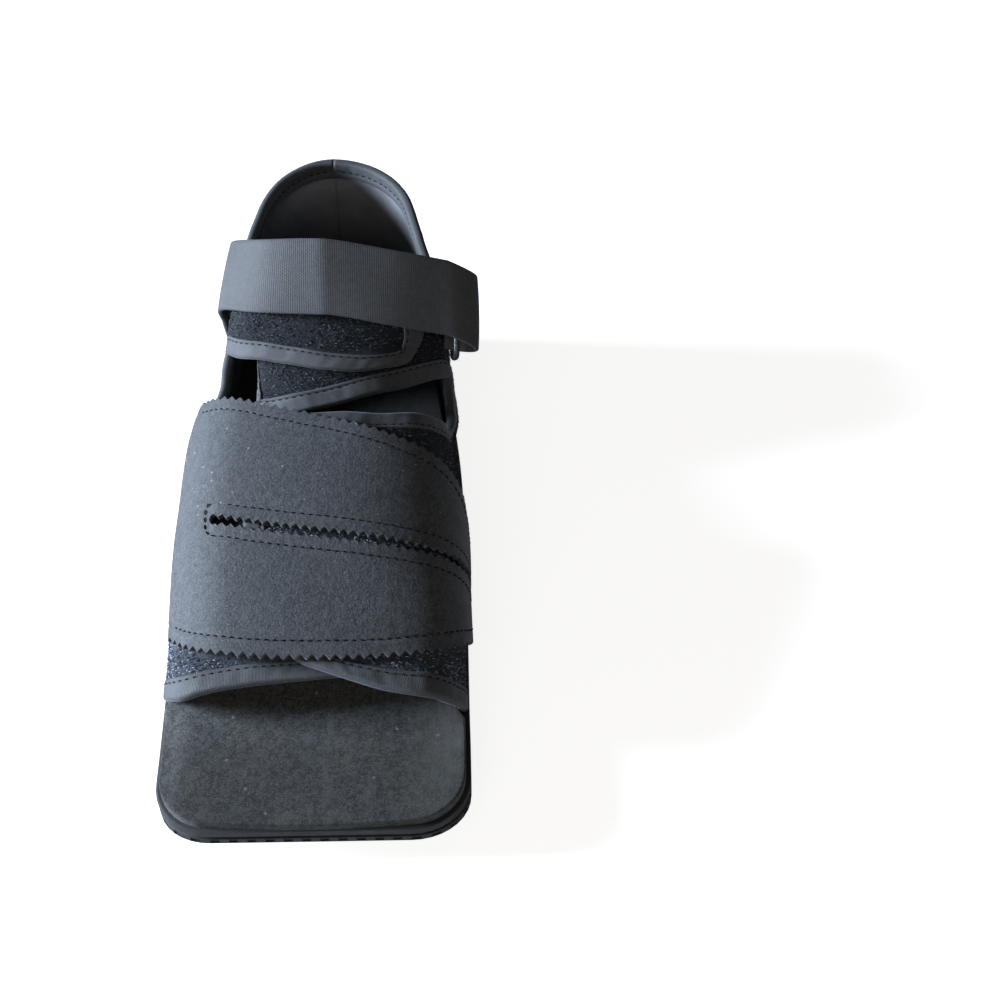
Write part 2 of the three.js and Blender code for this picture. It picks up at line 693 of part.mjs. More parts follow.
function strapRing() {
  const free = ringBar(RING_FREE_BAR);
  const tab = ringBar(RING_TAB_BAR);
  const across = free.clone().sub(tab).normalize();
  const normal = across.clone().cross(RING_ALONG);
  const halfAcross = free.distanceTo(tab) / 2;
  const halfLong = (RING.length - RING.wire) / 2;
  const centre = free.clone().lerp(tab, 0.5).addScaledVector(RING_ALONG, RING.length / 2);
  const rings = [];
  for (const quarter of [0, 1, 2, 3]) {
    const signAcross = quarter === 0 || quarter === 3 ? 1 : -1;
    const signLong = quarter < 2 ? 1 : -1;
    for (const share of [0, 0.5, 1]) {
      const angle = (quarter + share) * Math.PI / 2;
      const da = signAcross * (halfAcross - RING.corner) + RING.corner * Math.cos(angle);
      const dl = signLong * (halfLong - RING.corner) + RING.corner * Math.sin(angle);
      const at = centre.clone().addScaledVector(across, da).addScaledVector(RING_ALONG, dl);
      const out = across.clone().multiplyScalar(Math.cos(angle))
        .addScaledVector(RING_ALONG, Math.sin(angle));
      rings.push(steps(0, 360, RING.sides).slice(1).map((degrees) => {
        const turn = degToRad(degrees);
        return at.clone().addScaledVector(out, RING.wire / 2 * Math.cos(turn))
          .addScaledVector(normal, -RING.wire / 2 * Math.sin(turn));
      }));
    }
  }
  return loft(rings, true);
}

// Teardrop of webbing round the ring's inner bar, sewn flat to the wall below it
function ringTab() {
  const hole = RING.wire / 2 + GAP;
  const round = hole + TAB.thick;
  const shape = new THREE.Shape();
  shape.absarc(0, 0, round, Math.PI * 0.5, Math.PI * 1.5, false);
  shape.lineTo(TAB.reach, -round + TAB.flare);
  shape.lineTo(TAB.reach, -round + TAB.flare + 2 * TAB.thick);
  shape.lineTo(TAB.neck, round - TAB.pinch);
  shape.closePath();
  const bore = new THREE.Path();
  bore.absarc(0, 0, hole, 0, Math.PI * 2, true);
  shape.holes.push(bore);
  const settings = { depth: TAB.width, bevelEnabled: false, curveSegments: TAB.facets };
  const geometry = new THREE.ExtrudeGeometry(shape, settings);
  const frame = new THREE.Matrix4().makeBasis(RING_INWARD, vec(1, 0, 0), RING_ALONG.clone().negate());
  const start = ringBar(RING_TAB_BAR).addScaledVector(RING_ALONG, TAB.from + TAB.width);
  geometry.applyMatrix4(frame.setPosition(start));
  return geometry;
}

// Assembly

function mesh(name, geometry, colour, roughness, metalness = 0) {
  const material = new THREE.MeshStandardMaterial({ color: colour, roughness, metalness });
  const piece = new THREE.Mesh(geometry, material);
  piece.name = name;
  return piece;
}

const leftUpper = upperSheet(LEFT);
const rightUpper = upperSheet(RIGHT);

const shoe = new THREE.Group();
shoe.name = 'postoperative_shoe';
shoe.add(
  mesh('outsole', outsole(), 0x2b2d2f, 0.85),
  mesh('footbed', footbed(), 0x34383a, 0.95),
  mesh('upper_left', leftUpper.sheet.solid(UPPER_THICK), 0x202327, 0.95),
  mesh('upper_right', rightUpper.sheet.solid(UPPER_THICK), 0x202327, 0.95),
  mesh('binding_left', bindingTape(leftUpper), 0x33383d, 0.8),
  mesh('binding_right', bindingTape(rightUpper), 0x33383d, 0.8),
  mesh('forefoot_strap', forefootStrap(), 0x2f3438, 0.9),
  mesh('ankle_strap', ankleStrap(), 0x2d3135, 0.75),
  mesh('strap_ring', strapRing(), 0x15171a, 0.2),
  mesh('ring_tab', ringTab(), 0x23272b, 0.85),
);

export default shoe;
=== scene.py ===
"""Square-toe postoperative shoe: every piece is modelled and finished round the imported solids."""

import math

import bpy
import numpy as np
from bpy.props import FloatProperty, FloatVectorProperty, PointerProperty
from mathutils import Matrix, Vector
from mathutils.bvhtree import BVHTree
from mathutils.kdtree import KDTree


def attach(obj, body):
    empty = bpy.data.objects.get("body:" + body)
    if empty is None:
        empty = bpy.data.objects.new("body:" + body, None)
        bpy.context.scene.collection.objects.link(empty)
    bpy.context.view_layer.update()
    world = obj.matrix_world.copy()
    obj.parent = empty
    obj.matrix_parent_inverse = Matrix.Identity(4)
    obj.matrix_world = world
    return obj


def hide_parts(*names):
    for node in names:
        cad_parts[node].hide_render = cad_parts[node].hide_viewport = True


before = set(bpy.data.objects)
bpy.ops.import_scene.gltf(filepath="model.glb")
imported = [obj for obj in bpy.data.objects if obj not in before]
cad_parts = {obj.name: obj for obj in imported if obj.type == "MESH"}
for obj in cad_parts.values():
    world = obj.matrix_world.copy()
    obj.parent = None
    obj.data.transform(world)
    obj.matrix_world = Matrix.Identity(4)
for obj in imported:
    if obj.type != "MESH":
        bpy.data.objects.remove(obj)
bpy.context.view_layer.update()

bl_info = {
    "name": "Postoperative shoe",
    "version": (1, 0, 0),
    "blender": (4, 5, 0),
    "location": "3D View > Sidebar > Shoe",
    "description": "Builds a square-toe postoperative shoe, piece by piece",
    "category": "Add Mesh",
}

# The tables and surface functions are in millimetres, and meshes are made in metres
MM = 0.001
LEFT = -1
RIGHT = 1

# Half widths of the outsole edge along the shoe
SOLE_EDGE = {
    "y": (-139, -115, -88, -50, -5, 30, 65, 98),
    "left": (52.4, 53.4, 54.8, 57.2, 59.0, 57.0, 52.0, 47.0),
    "right": (53.0, 53.4, 53.0, 52.6, 51.8, 50.2, 46.6, 41.4),
}
TOE_Y = -139
HEEL_Y = 142
HEEL_ARC_Y = 98
HEEL_X = -4
TOE_CORNER = 20
OUTSOLE_TOP = 22
FLAT_FRONT_Y = -45
FLAT_BACK_Y = 85
TOE_LIFT = 14.5
HEEL_LIFT = 5
BASE_Z = 22.3
UPPER_INSET = 2.3

# Bands of the outsole's side from the ground up, its tread and its rounded rims
SOLE_BANDS = (3.5, 6.0, 1.3, 1.6, 1.3, 6.3, 2.0)
RIB_BAND = 1
GROOVE_BAND = 3
RIB_FRONT_Y = -108
RIB_MARGIN = 0.3
RIB_DEPTH = 0.5
TREAD_ENDS = (9, 8)
TREAD_PITCH = 7.0
TREAD_WIDTH = 2.2
TREAD_DEPTH = 1.3
TREAD_DRAFT = 0.6
TOP_ROUND = 1.1
GROUND_ROUND = 2.6

# Footbed: how far it stands in from the sole's edge, and how its top falls to the toe and sides
FOOTBED_TOE_INSET = 1.7
FOOTBED_UPPER_INSET = 5.2
FOOTBED_STEP = {LEFT: (-92, -87), RIGHT: (-97, -93.2)}
FOOTBED_BOW = 1.3
FOOTBED_GAP = 0.02
FOOTBED_SKIRT = 1.2
FOOTBED_ROUND = 0.8
FOOTBED_CUT = 6.0
FOOTBED_EDGE_CUTS = (-50, -45, 45, 49.5)
FOOTBED_SKIN = 1.0
FOOTBED_DISH = (34, 0.7)
FOOTBED_DISH_FROM = (-138, -90)
FOOTBED_WAVE = 0.16
FOOTBED_TAPER = (118, 140, 3.0)
FOOTBED_ROLL = {LEFT: (9.0, 2.4), RIGHT: (42.0, 2.2)}
FOOTBED_ROLL_END = (-100, -90)

# Arches of the forefoot from the toe edge (0) to the throat (1), and on to the instep
FOREFOOT = {
    "u": (0.0, 0.34, 0.67, 1.0, 1.35),
    "base_y": (-91, -46, 0, 46, 84),
    "crown_y": (-92, -57, -26, 4, 34),
    "crown_z": (46, 56, 65, 72, 79),
}
FOREFOOT_BOXY = 0.84
SHOULDER_LEAN = 0.985

# Toe flaps: how far each sheet goes over the crown (1 is the crown), and its toe edge
TOE_FLAP_END = {
    "u": (0.0, 0.06, 0.15, 0.5, 0.85, 1.0),
    "left": (1.14, 1.18, 1.22, 1.26, 1.23, 1.16),
    "right": (1.03, 1.08, 1.13, 1.21, 1.18, 1.1),
}
TOE_EDGE = {
    "q": (0.0, 0.4, 0.6, 0.8, 0.95, 1.1, 1.4),
    "left": (0.045, -0.043, -0.043, -0.03, -0.02, -0.005, 0.03),
    "right": (0.0, -0.065, -0.076, -0.058, -0.015, 0.05, 0.1),
}
TOE_FLAP_LIFT = (4.7, 0.2, 0.62)

# Side wall behind the forefoot: where a station stands on the sole, and its upper edge
SIDE_WALL = {
    "base_y": (54, 59, 63, 66, 71, 76, 81, 86, 93, 98),
    "top_y": (36, 45, 51.5, 55, 61, 66, 70.5, 75, 87, 98),
    "top_z": (44.0, 46.0, 48.6, 52.0, 61.0, 69.5, 77.5, 85.0, 90.5, 94.5),
    "left": (49.6, 46.9, 45.3, 44.4, 42.2, 40.6, 39.2, 37.8, 34.8, 31.0),
    "right": (46.9, 46.2, 45.8, 45.4, 44.0, 42.4, 41.0, 39.4, 36.2, 32.0),
}
HEEL_ANGLES = (15, 30, 45, 60, 75, 90, 105)
HEEL_RIM_X = -1.8
HEEL_RIM_DEPTH = 37
HEEL_RIM_Z = 100.5
WALL_BULGE = 1.2
WALL_Q = 0.22
FLAP_FIRST = {LEFT: 5, RIGHT: 4}
FLAP_LAST = 8

# Instep flaps lie along one sloping line over the crown
INSTEP_LOW = (28, 57.5)
INSTEP_HIGH = (59, 86.5)
INSTEP_SPAN = {LEFT: (0.4, 1.0), RIGHT: (0, 1)}
INSTEP_END = {
    "at": (0.0, 0.25, 0.5, 0.75, 1.0),
    "left": (1.45, 1.56, 1.58, 1.54, 1.38),
    "right": (1.5, 1.6, 1.62, 1.58, 1.46),
}
INSTEP_SHIFT = {
    "q": (0.0, 0.12, 0.3, 0.6, 0.8, 1.0, 1.2, 1.5),
    "right": (0.0, 1.6, 4.6, 5.4, 4.8, 2.6, -1.5, -6.5),
    "left": (0.0, 0.0, 1.0, 1.4, 0.4, -1.5, -2.2, -0.5),
}
INSTEP_UP = np.array((0, 0.73, 0.68))
INSTEP_CURL = (1.43, 4.2, 2.1)
INSTEP_BOXY = (0.5, 0.56)
INSTEP_LIFT = (5.4, 0, 0.5)

# Edges of the forefoot strap, as places along the arches, and its free end
STRAP_EDGES = {
    "q": (0.0, 0.3, 0.6, 1.0, 1.35, 1.72),
    "low": (0.24, 0.14, 0.06, 0.03, 0.07, 0.19),
    "slit": (0.4025, 0.39, 0.41, 0.465, 0.54, 0.62),
    "high": (0.57, 0.67, 0.81, 0.965, 1.07, 1.07),
}
STRAP_END = {
    "share": (0.0, 0.06, 0.3, 0.6, 0.94, 1.0),
    "q": (1.66, 1.7, 1.66, 1.59, 1.6, 1.56),
}
STRAP_ROOT_Q = 0.03
STRAP_LIFT = (3.3, 7.9)
STRAP_RISE = (0.05, 0.6)
STRAP_FALL = (1.26, 1.6)
STRAP_FLARE = 3.4
SLIT_END = 0.835
SLIT_SHARE = 0.5

# Route of the ankle webbing: its toe-side edge and its heel-side edge
ANKLE_LOW = (
    (-47.4, 86, 42), (-46.8, 79, 54), (-45.4, 71, 66.5), (-43.8, 62.5, 79.6), (-28, 52, 86.4),
    (-6, 46.8, 89.4), (4.5, 46, 89.1), (25, 45, 84.9), (44, 46, 79.5), (53, 46.3, 77),
)
ANKLE_HIGH = (
    (-42.4, 110, 58), (-40.8, 104, 70), (-39.8, 97.5, 81.5), (-39.8, 88, 94.0), (-25, 73, 105.8),
    (-6, 67.5, 110.0), (4.5, 66.5, 109.7), (25, 65.5, 105.7), (44, 66.3, 100.5), (53, 66.6, 98),
)
ANKLE_FOLD_FROM_X = 46.5
ANKLE_FOLD_X = 57.2
ANKLE_FOLD_GAP = 8
ANKLE_TAIL_X = 44.5
ANKLE_SKEW = 5

# Ring and tab at the right of the instep
RING_LOW = np.array((0, 42.7, 69.4))
RING_ALONG = np.array((0, 0.695, 0.719))
RING_INWARD = np.array((0, 0.719, -0.695))
RING_FREE_BAR = np.array((49.4, 0, 0)) + RING_LOW + RING_INWARD * 1.3
RING_TAB_BAR = np.array((47.8, 0, 0)) + RING_LOW + RING_INWARD * 9.4
RING_LENGTH = 37.4
RING_CORNER = 2.6


def length(name, description, default):
    """A length setting, in metres"""
    return FloatProperty(name=name, description=description, default=default, unit="LENGTH")


class ShoeSizes(bpy.types.PropertyGroup):
    """Sizes of the cloth, tapes, stitches and soles"""

    panel: length("Panel", "Thickness of the cloth panels", 0.0022)
    tape: length("Tape", "Thickness of the binding tape", 0.0007)
    tape_width: length("Tape width", "Width of the tape on each face", 0.0066)
    nubuck: length("Forefoot strap", "Thickness of the forefoot strap", 0.0016)
    webbing: length("Webbing", "Thickness of the webbing", 0.0017)
    tab: length("Tab", "Thickness of the ring tab", 0.0012)
    tooth: length("Tooth", "Depth of the pinked edge", 0.0021)
    stitch: length("Stitch", "Pitch of the stitches", 0.003)
    thread: length("Thread", "Radius of the sewing thread", 0.00031)
    groove: length("Groove", "Depth of the groove round the sole", 0.0011)
    footbed: length("Footbed", "Thickness of the footbed", 0.006)
    ring_wire: length("Ring wire", "Diameter of the ring's wire", 0.0024)


def colour(name, description, default):
    """A colour setting"""
    return FloatVectorProperty(
        name=name, description=description, default=default, subtype="COLOR", size=3, min=0, max=1)


class ShoeColours(bpy.types.PropertyGroup):
    """Colours of the finishes"""

    nubuck: colour("Nubuck", "Forefoot strap", (0.066, 0.069, 0.073))
    webbing: colour("Webbing", "Ankle strap and tab", (0.056, 0.0575, 0.061))
    loop: colour("Loop cloth", "Outer face of the panels", (0.036, 0.041, 0.051))
    lining: colour("Lining", "Inner face of the panels", (0.195, 0.2, 0.22))
    tape: colour("Tape", "Binding tape", (0.06, 0.0625, 0.067))
    thread: colour("Thread", "Sewing thread", (0.008, 0.008, 0.009))
    foam: colour("Foam", "Footbed", (0.057, 0.057, 0.054))
    rubber: colour("Rubber", "Outsole", (0.022, 0.023, 0.0245))
    ring: colour("Ring", "Strap ring", (0.05, 0.051, 0.055))
    floor: colour("Floor", "Floor under the shoe", (0.86, 0.86, 0.86))


class ShoeSettings(bpy.types.PropertyGroup):
    """All settings of the shoe"""

    sizes: PointerProperty(type=ShoeSizes)
    colours: PointerProperty(type=ShoeColours)


def sizes():
    """The sizes now set on the scene"""
    return bpy.context.scene.shoe.sizes


def colours():
    """The colours now set on the scene"""
    return bpy.context.scene.shoe.colours


# Surface functions

SURFACE_STEP = 0.004
ARCH_END = 1.999
RUMPLE_HEIGHT = 0.55
RUMPLE_RISE = 16
RUMPLE_CALM = (88, 110, 0.75)


def read(table, by, column, at):
    """Smooth value of one column of a table at places along it"""
    x = np.array(table[by], float)
    y = np.array(table[column], float)
    at = np.asarray(at, float)
    index = np.arange(len(x))
    before = np.maximum(index - 1, 0)
    after = np.minimum(index + 1, len(x) - 1)
    slope = (y[after] - y[before]) / (x[after] - x[before])
    i = np.clip(np.searchsorted(x, at) - 1, 0, len(x) - 2)
    span = x[i + 1] - x[i]
    t = (at - x[i]) / span
    s = np.clip(t, 0, 1)
    start = (2 * s**3 - 3 * s**2 + 1) * y[i] + (s**3 - 2 * s**2 + s) * span * slope[i]
    end = (3 * s**2 - 2 * s**3) * y[i + 1] + (s**3 - s**2) * span * slope[i + 1]
    return start + end + (t - s) * (y[i + 1] - y[i])


def smooth(at, start, end):
    """0 before start, 1 after end, and an even turn between them"""
    t = np.clip((at - start) / (end - start), 0, 1)
    return t * t * (3 - 2 * t)


def mix(a, b, t):
    """The value a share t of the way from a to b"""
    return a + (b - a) * t


def points(x, y, z):
    """Points from three arrays that fit together"""
    return np.stack(np.broadcast_arrays(x, y, z), axis=-1).astype(float)


def unit(vectors):
    """The vectors at length 1"""
    return vectors / np.maximum(np.linalg.norm(vectors, axis=-1, keepdims=True), 1e-9)


def side_name(side):
    """The column that a side has in the tables"""
    return "left" if side == LEFT else "right"


def sole_half(side, y):
    """Half width of the outsole on the side of each point"""
    left = read(SOLE_EDGE, "y", "left", y)
    right = read(SOLE_EDGE, "y", "right", y)
    return np.where(np.asarray(side) == LEFT, left, right)


def ground_z(y):
    """Height of the outsole's underside, with its rocker toe and lifted heel"""
    toe = TOE_LIFT * (np.clip(FLAT_FRONT_Y - y, 0, None) / (FLAT_FRONT_Y - TOE_Y)) ** 2
    heel = HEEL_LIFT * (np.clip(y - FLAT_BACK_Y, 0, None) / (HEEL_Y - FLAT_BACK_Y)) ** 2
    return toe + heel


def base_point(side, y):
    """Where the cloth stands on the outsole"""
    return points(side * (sole_half(side, y) - UPPER_INSET), y, BASE_Z)


def half_arch(foot, crown, boxy, t):
    """Half arch from a foot to the crown; boxy shoulders keep the side walls upright"""
    shoulder = points(foot[..., 0] * SHOULDER_LEAN, crown[..., 1], crown[..., 2])
    boxy = np.asarray(boxy)[..., None]
    t = np.asarray(t)[..., None]
    rise = mix(foot, shoulder, boxy)
    over = mix(crown, shoulder, boxy)
    near = (1 - t) ** 3 * foot + 3 * (1 - t) ** 2 * t * rise
    return near + 3 * (1 - t) * t**2 * over + t**3 * crown


def forefoot_at(side, u, q):
    """Place on the forefoot: u from toe to throat, q from this side's foot (0) over the crown (1)"""
    own = np.where(q <= 1, side, -side)
    foot = base_point(own, read(FOREFOOT, "u", "base_y", u))
    crown = points(0, read(FOREFOOT, "u", "crown_y", u), read(FOREFOOT, "u", "crown_z", u))
    return half_arch(foot, crown, FOREFOOT_BOXY, np.where(q <= 1, q, 2 - q))


def lifted(place, side, u, q, lift):
    """The same place lifted off its surface, for a sheet that lies over another"""
    along = place(side, u + SURFACE_STEP, q) - place(side, u - SURFACE_STEP, q)
    before = np.maximum(q - SURFACE_STEP, 0)
    after = np.minimum(q + SURFACE_STEP, ARCH_END)
    across = place(side, u, after) - place(side, u, before)
    normal = unit(np.cross(along, across))
    return place(side, u, q) + normal * (side * np.asarray(lift))[..., None]


def rumpled(place):
    """Gentle bulges and hollows of soft cloth, the same for every sheet at one place"""
    x, y, z = place[..., 0], place[..., 1], place[..., 2]
    wave = np.sin(0.19 * x + 0.11 * y + 0.6) * np.sin(0.13 * y - 0.17 * z + 1.1)
    wave = wave + 0.5 * np.sin(0.31 * y + 0.23 * z) * np.sin(0.27 * x - 0.19 * y + 2.0)
    away = unit(points(x, 0, z - OUTSOLE_TOP))
    start, stop, calm = RUMPLE_CALM
    raised = smooth(z, BASE_Z, BASE_Z + RUMPLE_RISE) * (1 - calm * smooth(y, start, stop))
    return place + away * (RUMPLE_HEIGHT * wave * raised)[..., None]


# Panels of the upper

WALL_ROWS = 18
STATION_STEPS = 6
FOREFOOT_ROWS = 54
FOREFOOT_COLUMNS = 54
FLAP_COLUMNS = 56
CURL_STEP = 0.02
EDGE_DEEP = 3


def forefoot_grid(side):
    """Rows of the forefoot panel, which share their lowest part with the side wall"""
    name = side_name(side)
    a = np.linspace(0, 1, FOREFOOT_ROWS + 1)[:, None]
    end = read(TOE_FLAP_END, "u", name, a)
    low = np.broadcast_to(np.linspace(0, WALL_Q, WALL_ROWS + 1), (len(a), WALL_ROWS + 1))
    high = mix(WALL_Q, end, np.linspace(0, 1, FOREFOOT_COLUMNS + 1)[1:])
    q = np.concatenate([low, high], axis=1)
    u = mix(read(TOE_EDGE, "q", name, q), 1, a)
    height, start, stop = TOE_FLAP_LIFT
    lift = height * smooth(q, start, stop) if side == RIGHT else 0 * q
    return lifted(forefoot_at, side, u, q, lift)


def wall_stations(side):
    """Upright lines of the side wall, from the throat round to the back of the heel"""
    v = np.linspace(0, 1, WALL_ROWS + 1)[:, None]
    bulge = WALL_BULGE * 4 * v * (1 - v)
    rows = [forefoot_grid(side)[-1, : WALL_ROWS + 1]]
    rim = np.array(SIDE_WALL[side_name(side)], float)
    for k, base_y in enumerate(SIDE_WALL["base_y"]):
        foot = base_point(side, base_y)
        top = points(side * rim[k], SIDE_WALL["top_y"][k], SIDE_WALL["top_z"][k])
        rows.append(mix(foot, top, v) + bulge * np.array((side, 0, 0)))
    depth = HEEL_Y - UPPER_INSET - HEEL_ARC_Y
    width = sole_half(side, HEEL_ARC_Y) - UPPER_INSET
    for angle in np.radians(HEEL_ANGLES):
        out = np.array((side * math.cos(angle), math.sin(angle), 0))
        foot = points(mix(HEEL_X, side * width, math.cos(angle)), HEEL_ARC_Y + depth * out[1], BASE_Z)
        rim_z = mix(SIDE_WALL["top_z"][-1], HEEL_RIM_Z, math.sin(angle))
        rim_x = mix(HEEL_RIM_X, side * rim[-1], math.cos(angle))
        top = points(rim_x, HEEL_ARC_Y + HEEL_RIM_DEPTH * out[1], rim_z)
        rows.append(mix(foot, top, v) + bulge * out)
    return np.array(rows)


def between_stations(stations, s):
    """A smooth surface through the stations, at places s counted in stations"""
    last = len(stations) - 1
    i = np.clip(np.floor(s).astype(int), 0, last - 1)
    t = (s - i).reshape(s.shape + (1,) * (stations.ndim - 1))
    p0 = stations[np.maximum(i - 1, 0)]
    p1 = stations[i]
    p2 = stations[i + 1]
    p3 = stations[np.minimum(i + 2, last)]
    bend = (2 * p0 - 5 * p1 + 4 * p2 - p3) * t**2 + (3 * p1 - p0 - 3 * p2 + p3) * t**3
    return 0.5 * (2 * p1 + (p2 - p0) * t + bend)


def wall_grid(side):
    """Columns of the side wall from the throat to the back of the heel"""
    stations = wall_stations(side)
    steps = (len(stations) - 1) * STATION_STEPS
    grid = between_stations(stations, np.linspace(0, len(stations) - 1, steps + 1))
    calm = blurred(grid.reshape(steps + 1, -1), STATION_STEPS).reshape(grid.shape)
    row = np.arange(steps + 1)[:, None, None]
    last = FLAP_LAST * STATION_STEPS
    grid = mix(grid, calm, smooth(row, last, last + STATION_STEPS))
    return grid[:-STATION_STEPS]


def instep_at(side, at, q):
    """Place on an instep flap: at from its toe side to its heel side, q from its root over the crown"""
    first = FLAP_FIRST[side]
    s = first + at * (FLAP_LAST - first)
    roots = {own: between_stations(wall_stations(own)[:, -1], s) for own in (LEFT, RIGHT)}
    root = np.where((q <= 1)[..., None], roots[side], roots[-side])
    along = mix(*INSTEP_SPAN[side], at)
    crown = points(0, *[mix(low, high, along) for low, high in zip(INSTEP_LOW, INSTEP_HIGH)])
    place = half_arch(root, crown, mix(*INSTEP_BOXY, at), np.where(q <= 1, q, 2 - q))
    shift = read(INSTEP_SHIFT, "q", side_name(side), q) * (1 - at)
    return place + shift[..., None] * INSTEP_UP


def flap_grid(side):
    """Rows of an instep flap, across from its toe-side edge to its heel-side edge"""
    steps = (FLAP_LAST - FLAP_FIRST[side]) * STATION_STEPS
    at = np.linspace(0, 1, steps + 1)[:, None]
    end = read(INSTEP_END, "at", side_name(side), at)
    q = end * np.linspace(0, 1, FLAP_COLUMNS + 1)
    at = np.broadcast_to(at, q.shape)
    if side == LEFT:
        height, start, stop = INSTEP_LIFT
        return lifted(instep_at, side, at, q, height * smooth(q, start, stop))
    return curled(at, q)


def curled(at, q):
    """The right instep flap, whose end bends down behind the other side's wall"""
    start, radius, most = INSTEP_CURL
    held = np.minimum(q, start)
    place = instep_at(RIGHT, at, held)
    onward = place - instep_at(RIGHT, at, held - CURL_STEP)
    past = (q - held) * np.linalg.norm(onward, axis=-1) / CURL_STEP
    onward = unit(onward)
    below = -unit(np.cross(onward, np.broadcast_to(INSTEP_UP, onward.shape)))
    below = np.where(below[..., 2:] > 0, -below, below)
    turn = np.minimum(past / radius, most)
    rest = past - turn * radius
    ahead = radius * np.sin(turn) + rest * np.cos(turn)
    down = radius * (1 - np.cos(turn)) + rest * np.sin(turn)
    return place + onward * ahead[..., None] + below * down[..., None]


def panel_grids(side):
    """The three surfaces of one panel: forefoot, side wall and instep flap"""
    return [rumpled(grid) for grid in (forefoot_grid(side), wall_grid(side), flap_grid(side))]


def edge_part(edge, inside):
    """Points of one stretch of an edge, with the way into the cloth from each"""
    return edge, unit(inside - edge)


def free_edge(side):
    """The bound edge of a panel from the toe to the back of the collar, and the way in from it"""
    fore, wall, flap = panel_grids(side)
    first = FLAP_FIRST[side] * STATION_STEPS
    last = FLAP_LAST * STATION_STEPS
    parts = [
        edge_part(fore[0], fore[EDGE_DEEP]),
        edge_part(fore[1:, -1], fore[1:, -1 - EDGE_DEEP]),
        edge_part(fore[-1, -2:WALL_ROWS:-1], fore[-1 - EDGE_DEEP, -2:WALL_ROWS:-1]),
        edge_part(wall[:first, -1], wall[:first, -1 - EDGE_DEEP]),
        edge_part(flap[0], flap[EDGE_DEEP]),
        edge_part(flap[1:, -1], flap[1:, -1 - EDGE_DEEP]),
        edge_part(flap[-1, -2::-1], flap[-1 - EDGE_DEEP, -2::-1]),
        edge_part(wall[last + 1:, -1], wall[last + 1:, -1 - EDGE_DEEP]),
    ]
    return [np.concatenate(column) for column in zip(*parts)]


# Mesh helpers

def activate(piece):
    """Only this piece is selected and active"""
    if bpy.context.object and bpy.context.object.mode != "OBJECT":
        bpy.ops.object.mode_set(mode="OBJECT")
    bpy.ops.object.select_all(action="DESELECT")
    piece.select_set(True)
    bpy.context.view_layer.objects.active = piece


def modify(piece, kind, **settings):
    """Adds a modifier and applies it"""
    activate(piece)
    modifier = piece.modifiers.new(kind.title(), kind)
    for name, value in settings.items():
        setattr(modifier, name, value)
    bpy.ops.object.modifier_apply(modifier=modifier.name)


def quads(rows, columns, start, flip):
    """Faces of a grid of points whose first point has the index start"""
    i = np.arange(rows - 1)[:, None] * columns + np.arange(columns - 1) + start
    faces = np.stack([i, i + columns, i + columns + 1, i + 1], axis=-1).reshape(-1, 4)
    return faces[:, ::-1] if flip else faces


def joined(grids, flip):
    """Points and faces of several grids together"""
    faces = []
    start = 0
    for grid in grids:
        faces.append(quads(*grid.shape[:2], start, flip))
        start += grid.shape[0] * grid.shape[1]
    return np.concatenate([grid.reshape(-1, 3) for grid in grids]), np.concatenate(faces)


def new_piece(name, verts, faces, materials):
    """A piece from points in metres"""
    mesh = bpy.data.meshes.new(name)
    mesh.from_pydata(verts.tolist(), [], faces)
    for material in materials:
        mesh.materials.append(material)
    piece = bpy.data.objects.new(name, mesh)
    bpy.context.scene.collection.objects.link(piece)
    return piece


def edit_all(piece):
    """The piece in edit mode with all of it selected"""
    activate(piece)
    bpy.ops.object.mode_set(mode="EDIT")
    bpy.ops.mesh.select_all(action="SELECT")


def sheet_piece(name, grids, uvs, flip, materials, merge=0.00002):
    """A sheet of cloth from grids of points in millimetres that join where they meet"""
    verts, faces = joined(grids, flip)
    piece = new_piece(name, verts * MM, faces.tolist(), materials)
    flat = np.concatenate([uv.reshape(-1, 2) for uv in uvs]) * MM
    layer = piece.data.uv_layers.new(name="cloth")
    layer.data.foreach_set("uv", flat[faces.ravel()].astype(np.float32).ravel())
    edit_all(piece)
    bpy.ops.mesh.remove_doubles(threshold=merge)
    bpy.ops.object.mode_set(mode="OBJECT")
    return piece


def finish_piece(piece, slot, *nodes):
    """The piece rides on the shoe and stands for its solids; its slot is not used"""
    activate(piece)
    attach(piece, "root")
    if nodes:
        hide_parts(*nodes)
    piece.select_set(False)


def running(steps):
    """Distance from the start to each place, from the steps between them"""
    return np.concatenate([[0], np.cumsum(steps)])


def arc_lengths(line):
    """Distance along a line of points from its start to each of them"""
    return running(np.linalg.norm(np.diff(line, axis=0), axis=1))


def interpolated(values, arc, lengths):
    """Values known at the distances arc along a line, at other distances"""
    return np.stack([np.interp(lengths, arc, column) for column in values.T], axis=1)


def blurred(values, reach):
    """Values along a line, each one averaged with its neighbours"""
    window = np.ones(2 * reach + 1) / (2 * reach + 1)
    padded = np.pad(values, ((reach, reach), (0, 0)), mode="edge")
    return np.stack([np.convolve(column, window, mode="valid") for column in padded.T], axis=1)


def flat_uv(rows, columns):
    """Flat lengths at each point of a grid, from those of its rows and columns"""
    return np.stack(np.broadcast_arrays(rows[:, None], columns[None, :]), axis=-1)


def tree_of(grids, flip):
    """A search tree of the grids' faces, to lay other pieces on them"""
    verts, faces = joined(grids, flip)
    return BVHTree.FromPolygons(verts.tolist(), faces.tolist())


def laid_on(tree, line):
    """The nearest places on a surface to the points of a line, and its normals there"""
    found = [tree.find_nearest(Vector(p)) for p in line]
    return np.array([f[0] for f in found]), np.array([f[1] for f in found])


# Stitches

STITCH_RINGS = 5
STITCH_SIDES = 6
STITCH_SPAN = (0.16, 0.84)
STITCH_BOW = (1.3, 0.8)
STITCH_THICK = (0.45, 0.55)


